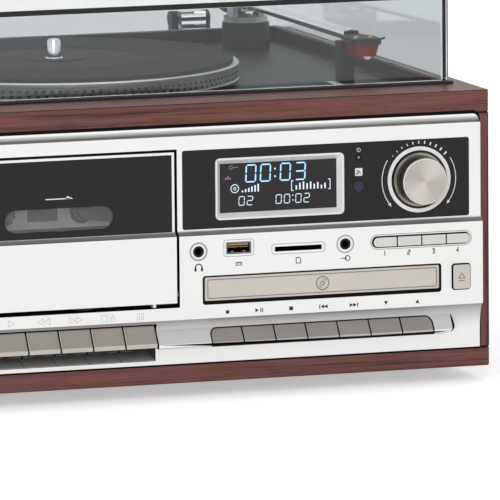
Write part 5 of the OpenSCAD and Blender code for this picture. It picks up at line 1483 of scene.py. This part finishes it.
def build_tonearm():
    """Arm tube, counterweight, headshell, cartridge and stylus."""
    dress("zinc", "arm_carrier")
    x0, x1, p0, p1, z0, z1 = span("tonearm")
    ax, az = (x0 + x1) / 2, (z0 + z1) / 2
    hub = p0 + 28
    t = Shape()
    t.lathe([(0, hub + 4), (3.3, hub + 4), (4.3, hub + 4.4), (4.3, hub + 9), (3.5, hub + 9.6),
             (3.2, hub + 14), (3.2, p1 - 10),
             (3.5, p1 - 9.6), (3.5, p1 - 0.3), (3.3, p1), (0, p1)], (ax, 0, az), "p", 48)
    t.box(ax - 4.5, ax + 4.5, hub - 6, hub + 6, az - 5, az + 5)
    t.lathe([(0, ax - 9), (1, ax - 9), (1, ax + 9), (0, ax + 9)], (0, hub, az), "x", 24)
    t.lathe([(0, hub - 14.2), (3, hub - 14.2), (3, hub - 5), (0, hub - 5)], (ax, 0, az), "p", 32)
    t.make("tonearm_skin", "chrome", "tonearm", "aluminium", ("tonearm",), round_edges=0.25, sharp=32)
    w = Shape()
    n = 60
    r = 9.0
    prof = [(0, hub - 28), (r - 1.6, hub - 28), (r - 0.5, hub - 27.2), (r, hub - 26.6), (r, hub - 19.4),
            (r - 0.6, hub - 19),
            (r - 0.6, hub - 18.4), (r, hub - 18), (r, hub - 14.6), (r - 0.6, hub - 14), (0, hub - 14)]
    w.lathe(prof, (ax, 0, az), "p", n)
    w.make("counterweight", "black_matte", "tonearm", "black_matte")
    ticks = Shape()
    for i in range(24):
        a = 2 * math.pi * i / 24
        c, q = math.cos(a), math.sin(a)
        long = 1.2 if i % 4 == 0 else 0.6
        ring = []
        for rr in (r - 0.02, r + 0.04):
            ring.append([(ax + rr * c + q * 0.1, hub - 14.8 - long, az + rr * q - c * 0.1),
                         (ax + rr * c + q * 0.1, hub - 14.8, az + rr * q - c * 0.1),
                         (ax + rr * c - q * 0.1, hub - 14.8, az + rr * q + c * 0.1),
                         (ax + rr * c - q * 0.1, hub - 14.8 - long, az + rr * q + c * 0.1)])
        ticks.prism(ring[0], ring[1])
    ticks.make("weight_scale", "ink_white", "tonearm", "white")
    # headshell, cartridge, stylus and finger lift
    hp0 = span("headshell")[2]
    h = Shape()
    p = hp0
    top = az + 1
    h.slab([(ax - 4, p), (ax + 4, p), (ax + 4.6, p + 3), (ax + 8, p + 12), (ax + 8, p + 26.5),
            (ax + 6.5, p + 28), (ax - 6.5, p + 28),
            (ax - 8, p + 26.5), (ax - 8, p + 12), (ax - 4.6, p + 3)], az - 2.4, top)
    h.box(ax - 4, ax + 4, p, p + 2, az - 2.5, az + 2.5)
    h.make("headshell_skin", "black_matte", "tonearm", "black_matte", ("headshell",), round_edges=0.5,
           steps=3)
    c = Shape()
    c.prism([(ax - 6.6, p + 10, az - 2.5), (ax + 6.6, p + 10, az - 2.5), (ax + 6.6, p + 27, az - 2.5),
             (ax - 6.6, p + 27, az - 2.5)],
            [(ax - 5.4, p + 11, az - 8.2), (ax + 5.4, p + 11, az - 8.2), (ax + 5.4, p + 25, az - 9.0),
             (ax - 5.4, p + 25, az - 9.0)])
    c.make("cartridge", "red", "tonearm", "black_matte", round_edges=0.4)
    st = Shape()
    st.prism([(ax - 2.1, p + 18, az - 8.6), (ax + 2.1, p + 18, az - 8.6), (ax + 2.1, p + 27, az - 8.6),
              (ax - 2.1, p + 27, az - 8.6)],
             [(ax - 1.2, p + 20, az - 9.9), (ax + 1.2, p + 20, az - 9.9), (ax + 1.2, p + 27.6, az - 9.9),
              (ax - 1.2, p + 27.6, az - 9.9)])
    st.lathe([(0, az - 10.5), (0.16, az - 10.2), (0.3, az - 9.6), (0, az - 9.6)], (ax, p + 26.6, 0), "z", 10)
    st.make("stylus", "white", "tonearm", "white", round_edges=0.15)
    lift = Shape()
    path = [(ax + 7.4, p + 19, az - 0.6), (ax + 9.6, p + 19, az - 0.5), (ax + 11.2, p + 19.6, az - 0.1),
            (ax + 12, p + 20, az + 0.5)]
    for a, b in zip(path, path[1:]):
        lift.prism([(a[0], a[1] - 0.9, a[2] - 0.5), (a[0], a[1] + 0.9, a[2] - 0.5),
                    (a[0], a[1] + 0.9, a[2] + 0.3), (a[0], a[1] - 0.9, a[2] + 0.3)],
                   [(b[0], b[1] - 0.9, b[2] - 0.5), (b[0], b[1] + 0.9, b[2] - 0.5),
                    (b[0], b[1] + 0.9, b[2] + 0.3), (b[0], b[1] - 0.9, b[2] + 0.3)])
    lift.make("finger_lift", "black_matte", "tonearm", "black_matte")
    sc = Shape()
    for x in (ax - 4, ax + 4):
        screw(sc, x, p + 20, top, 1.3, "deck")
    sc.make("shell_screws", ["brass", "black_matte"], "tonearm", "steel")


def build_cover():
    """Clear dust cover and its hinges."""
    softened("dust_cover", "dust_cover", "clear", 0.7, 3)
    softened("cover_hinges", "cabinet", "black_matte", 0.4, 2)


def build_rear():
    """Rear panel with screws, speaker clips, line sockets and a bare plate."""
    softened("rear_panel", "cabinet", "black_matte", 0.15, 1)
    softened("rear_terminals", "cabinet", "black_matte", 0.25, 2)
    softened("mains_inlet", "cabinet", "black_matte", 0.3, 2)
    y = REAR
    sc = Shape()
    for x in (-144, -50, 50, 144):
        for z in (16, 127):
            screw(sc, x, y, z, 2.4)
    for x, z in ((-110, 59), (-30, 59), (-110, 33), (-30, 33), (107.9, 36), (132.1, 36)):
        screw(sc, x, y - 2, z, 1.4)
    sc.make("rear_screws", ["zinc", "black_matte"], "cabinet", "steel")
    tx = -70
    clips_red, clips_black, rings, cores = Shape(), Shape(), Shape(), Shape()
    for i in range(4):
        x = tx - 38 + i * 12
        c = clips_red if i % 2 == 0 else clips_black
        c.prism([(x + 0.4, y - 5, 46 + 2.4), (x + 7.6, y - 5, 46 + 2.4), (x + 7.6, y - 5, 46 + 11.6),
                 (x + 0.4, y - 5, 46 + 11.6)],
                [(x + 0.4, y - 7.8, 46 + 6.4), (x + 7.6, y - 7.8, 46 + 6.4), (x + 7.6, y - 5.6, 46 + 11.6),
                 (x + 0.4, y - 5.6, 46 + 11.6)])
        rings.lathe([(1.6, y - 2.3), (2.3, y - 2.3), (2.3, y - 1.9), (1.6, y - 1.9)], (x + 4, 0, 40), "p", 24,
                    closed=True)
    clips_red.make("clip_tabs_red", "red", "cabinet", "lamp", round_edges=0.35)
    clips_black.make("clip_tabs_black", "black_matte", "cabinet", "black_matte", round_edges=0.35)
    for i, m in enumerate(("white", "red")):
        x = tx + 22 + i * 14
        Shape().lathe([(4.25, y - 2.2), (6, y - 2.2), (6, y - 2.9), (5.6, y - 3.2), (4.25, y - 3.2)],
                      (x, 0, 46), "p", 40, closed=True).make("line_ring_%s" % m, m, "cabinet",
                                                             "white" if m == "white" else "lamp")
        cores.lathe([(3.5, y - 8.1), (4.2, y - 8.1), (4.25, y - 3), (3.5, y - 3)], (x, 0, 46), "p", 40,
                    closed=True)
    cores.lathe([(3.3, y - 8.1), (4.35, y - 8.1), (4.4, y + 0), (3.3, y + 0)], (10, 0, 46), "p", 40,
                closed=True)
    cores.make("line_shells", "chrome", "cabinet", "chrome")
    rings.make("clip_rings", "zinc", "cabinet", "steel")
    # bare plate between the vents and the terminals
    Shape().plate(round_box(-128, -78, 84, 118, 2, 4), y - 0.35, y).make("rear_plate", "zinc", "cabinet",
                                                                         "steel", round_edges=0.1)


def build_inside():
    """Disc loader, circuit boards and transformer."""
    dress("black_matte", "disc_loader")
    dress("board", "front_board", "main_board")
    dress("laminations", "transformer")


def build_floor(s):
    """Pale floor that looks white to the camera and keeps the object's shadow."""
    me = bpy.data.meshes.new("floor")
    bm = bmesh.new()
    bmesh.ops.create_grid(bm, x_segments=8, y_segments=8, size=4)
    bm.to_mesh(me)
    bm.free()
    floor = link(bpy.data.objects.new("floor", me))
    colour = (*s.floor, 1)
    m = new_finish("floor", colour, 0.9, Specular_IOR_Level=0.0, Emission_Color=(1, 1, 1, 1))
    tones(m, noise(m, (2, 2, 2)), colour, 0.995, 1.005)
    rays = add_node(m, "LightPath").outputs
    lift = maths(m, "MULTIPLY", rays["Is Camera Ray"], s.floor_lift)
    feed(m, maths(m, "MULTIPLY_ADD", rays["Is Glossy Ray"], s.floor_gloss, lift), "Emission Strength")
    me.materials.append(m)


def build_world(s):
    """White for the camera, a soft dome for matt surfaces and a room that darkens upwards for gloss."""
    scene = bpy.context.scene
    scene.world = w = scene.world or bpy.data.worlds.new("studio")
    w.use_nodes = True
    w.node_tree.nodes.clear()
    way = add_node(w, "SeparateXYZ", Vector=add_node(w, "TexCoord").outputs["Generated"]).outputs
    rays = add_node(w, "LightPath").outputs

    def greys(fac, *stops):
        return ramp(w, fac, [(pos, (v, v, v)) for pos, v in stops])

    sky = greys(way["Z"], (0.45, 1.06), (0.8, 0.85), (0.91, 0.4), (0.985, 0.1))
    side = greys(maths(w, "ABSOLUTE", way["X"]), (0.0, 1), (0.6, 1), (0.97, 0.3))
    dome = greys(way["Z"], (0.3, s.fill), (0.9, s.fill * 0.45))
    unseen = mixed(w, rays["Is Glossy Ray"], dome, mixed(w, 1, sky, side, "MULTIPLY"))
    seen = maths(w, "MAXIMUM", rays["Is Camera Ray"], rays["Is Transmission Ray"])
    back = add_node(w, "Background", Color=mixed(w, seen, unseen, (1, 1, 1, 1)))
    add_node(w, "OutputWorld", Surface=back.outputs[0])


def build_lamps(s):
    """Two large soft lamps, one in front and one above."""
    for name, where, size, power in (("front", (-1.3, -2.6, 1.3), 2.4, s.key),
                                     ("top", (0.3, 0.4, 3.0), 3.0, s.key * 0.6)):
        lamp = bpy.data.lights.new(name, "AREA")
        lamp.shape, lamp.size, lamp.energy = "DISK", size, power
        ob = link(bpy.data.objects.new(name, lamp))
        ob.location = where
        ob.rotation_euler = (Vector((0, 0, 0.08)) - Vector(where)).to_track_quat("-Z", "Y").to_euler()
        ob.visible_glossy = False


def build_camera(s):
    """Camera with a long lens, to the left of the front and a little above it."""
    cam = bpy.data.cameras.new("camera")
    cam.lens, cam.sensor_width, cam.clip_end = s.lens, 36, 50
    ob = link(bpy.data.objects.new("camera", cam))
    target = at(28.943, 0, 67.451)
    back = Vector((-math.sin(s.turn) * math.cos(s.tilt), -math.cos(s.turn) * math.cos(s.tilt),
                   math.sin(s.tilt)))
    level = (-back).cross(Vector((0, 0, 1))).normalized()
    upright = level.cross(-back)
    right = level * math.cos(s.roll) + upright * math.sin(s.roll)
    up = upright * math.cos(s.roll) - level * math.sin(s.roll)
    rot = Matrix((right, up, back)).transposed()
    ob.matrix_world = Matrix.Translation(target + back * s.distance) @ rot.to_4x4()
    bpy.context.scene.camera = ob


def build_stage():
    """Floor, world, lamps and camera."""
    s = bpy.context.scene.mc_stage
    build_floor(s)
    build_world(s)
    build_lamps(s)
    build_camera(s)
    bpy.context.scene.view_settings.view_transform = "Standard"


# ---------------------------------------------------------------- operators

class MC_OT_stage(bpy.types.Operator):
    """Add the floor, light and camera"""
    bl_idname = "music_centre.stage"
    bl_label = "Stage"
    bl_options = {"REGISTER", "UNDO"}

    def execute(self, context):
        build_stage()
        return {"FINISHED"}


class MC_OT_cabinet(bpy.types.Operator):
    """Dress the wood cabinet and its feet"""
    bl_idname = "music_centre.cabinet"
    bl_label = "Cabinet"
    bl_options = {"REGISTER", "UNDO"}

    def execute(self, context):
        build_cabinet()
        return {"FINISHED"}


class MC_OT_front(bpy.types.Operator):
    """Dress the silver front panel and key recess"""
    bl_idname = "music_centre.front"
    bl_label = "Front Panel"
    bl_options = {"REGISTER", "UNDO"}

    def execute(self, context):
        build_front()
        return {"FINISHED"}


class MC_OT_marks(bpy.types.Operator):
    """Add the symbols on the silver front"""
    bl_idname = "music_centre.marks"
    bl_label = "Symbols"
    bl_options = {"REGISTER", "UNDO"}

    def execute(self, context):
        build_marks()
        return {"FINISHED"}


class MC_OT_display(bpy.types.Operator):
    """Dress the display, lamp and ring"""
    bl_idname = "music_centre.display"
    bl_label = "Display"
    bl_options = {"REGISTER", "UNDO"}

    def execute(self, context):
        build_display()
        return {"FINISHED"}


class MC_OT_knob(bpy.types.Operator):
    """Add the turned volume knob"""
    bl_idname = "music_centre.knob"
    bl_label = "Volume Knob"
    bl_options = {"REGISTER", "UNDO"}

    def execute(self, context):
        build_knob()
        return {"FINISHED"}


class MC_OT_sockets(bpy.types.Operator):
    """Dress the sockets"""
    bl_idname = "music_centre.sockets"
    bl_label = "Sockets"
    bl_options = {"REGISTER", "UNDO"}

    def execute(self, context):
        build_sockets()
        return {"FINISHED"}


class MC_OT_drawer(bpy.types.Operator):
    """Dress the disc drawer and eject button"""
    bl_idname = "music_centre.drawer"
    bl_label = "Disc Drawer"
    bl_options = {"REGISTER", "UNDO"}

    def execute(self, context):
        build_drawer()
        return {"FINISHED"}


class MC_OT_buttons(bpy.types.Operator):
    """Dress the four function buttons"""
    bl_idname = "music_centre.buttons"
    bl_label = "Function Buttons"
    bl_options = {"REGISTER", "UNDO"}

    def execute(self, context):
        build_buttons()
        return {"FINISHED"}


class MC_OT_right_keys(bpy.types.Operator):
    """Dress the seven keys under the drawer"""
    bl_idname = "music_centre.right_keys"
    bl_label = "Right Keys"
    bl_options = {"REGISTER", "UNDO"}

    def execute(self, context):
        build_right_keys()
        return {"FINISHED"}


class MC_OT_piano_keys(bpy.types.Operator):
    """Add the six dished cassette keys"""
    bl_idname = "music_centre.piano_keys"
    bl_label = "Piano Keys"
    bl_options = {"REGISTER", "UNDO"}

    def execute(self, context):
        build_piano_keys()
        return {"FINISHED"}


class MC_OT_door(bpy.types.Operator):
    """Dress the cassette door"""
    bl_idname = "music_centre.door"
    bl_label = "Cassette Door"
    bl_options = {"REGISTER", "UNDO"}

    def execute(self, context):
        build_door()
        return {"FINISHED"}


class MC_OT_deck(bpy.types.Operator):
    """Dress the deck plate, reels and tape head"""
    bl_idname = "music_centre.deck"
    bl_label = "Cassette Deck"
    bl_options = {"REGISTER", "UNDO"}

    def execute(self, context):
        build_deck()
        return {"FINISHED"}


class MC_OT_turntable(bpy.types.Operator):
    """Add the platter, mat and speed lever"""
    bl_idname = "music_centre.turntable"
    bl_label = "Turntable"
    bl_options = {"REGISTER", "UNDO"}

    def execute(self, context):
        build_turntable()
        return {"FINISHED"}


class MC_OT_tonearm(bpy.types.Operator):
    """Add the tonearm, weight and cartridge"""
    bl_idname = "music_centre.tonearm"
    bl_label = "Tonearm"
    bl_options = {"REGISTER", "UNDO"}

    def execute(self, context):
        build_tonearm()
        return {"FINISHED"}


class MC_OT_cover(bpy.types.Operator):
    """Dress the clear cover and its hinges"""
    bl_idname = "music_centre.cover"
    bl_label = "Dust Cover"
    bl_options = {"REGISTER", "UNDO"}

    def execute(self, context):
        build_cover()
        return {"FINISHED"}


class MC_OT_rear(bpy.types.Operator):
    """Dress the rear panel and its terminals"""
    bl_idname = "music_centre.rear"
    bl_label = "Rear"
    bl_options = {"REGISTER", "UNDO"}

    def execute(self, context):
        build_rear()
        return {"FINISHED"}


class MC_OT_inside(bpy.types.Operator):
    """Dress the boards and transformer"""
    bl_idname = "music_centre.inside"
    bl_label = "Inside"
    bl_options = {"REGISTER", "UNDO"}

    def execute(self, context):
        build_inside()
        return {"FINISHED"}


OPERATORS = [
    MC_OT_stage, MC_OT_cabinet, MC_OT_front, MC_OT_marks, MC_OT_display, MC_OT_knob, MC_OT_sockets,
    MC_OT_drawer, MC_OT_buttons, MC_OT_right_keys, MC_OT_piano_keys, MC_OT_door, MC_OT_deck,
    MC_OT_turntable, MC_OT_tonearm, MC_OT_cover, MC_OT_rear, MC_OT_inside,
]


class MC_PT_panel(bpy.types.Panel):
    """Sidebar panel with the sizes, colours and pieces"""
    bl_label = "Music Centre"
    bl_idname = "MC_PT_panel"
    bl_space_type = "VIEW_3D"
    bl_region_type = "UI"
    bl_category = "Music Centre"

    def draw(self, context):
        for attr, group in SETTINGS.items():
            box = self.layout.box()
            box.label(text=group.__doc__)
            for name in group.__annotations__:
                box.prop(getattr(context.scene, attr), name)
        for op in OPERATORS:
            self.layout.operator(op.bl_idname)


SETTINGS = {"mc_cabinet": CabinetSettings, "mc_front": FrontSettings, "mc_turntable": TurntableSettings,
            "mc_stage": StageSettings}


def register():
    for cls in list(SETTINGS.values()) + OPERATORS + [MC_PT_panel]:
        bpy.utils.register_class(cls)
    for attr, group in SETTINGS.items():
        setattr(bpy.types.Scene, attr, PointerProperty(type=group))


def unregister():
    for attr in SETTINGS:
        delattr(bpy.types.Scene, attr)
    for cls in [MC_PT_panel] + OPERATORS[::-1] + list(SETTINGS.values())[::-1]:
        bpy.utils.unregister_class(cls)


def main():
    register()
    for op in OPERATORS:
        getattr(bpy.ops.music_centre, op.bl_idname.split(".")[1])()


if __name__ == "__main__":
    main()
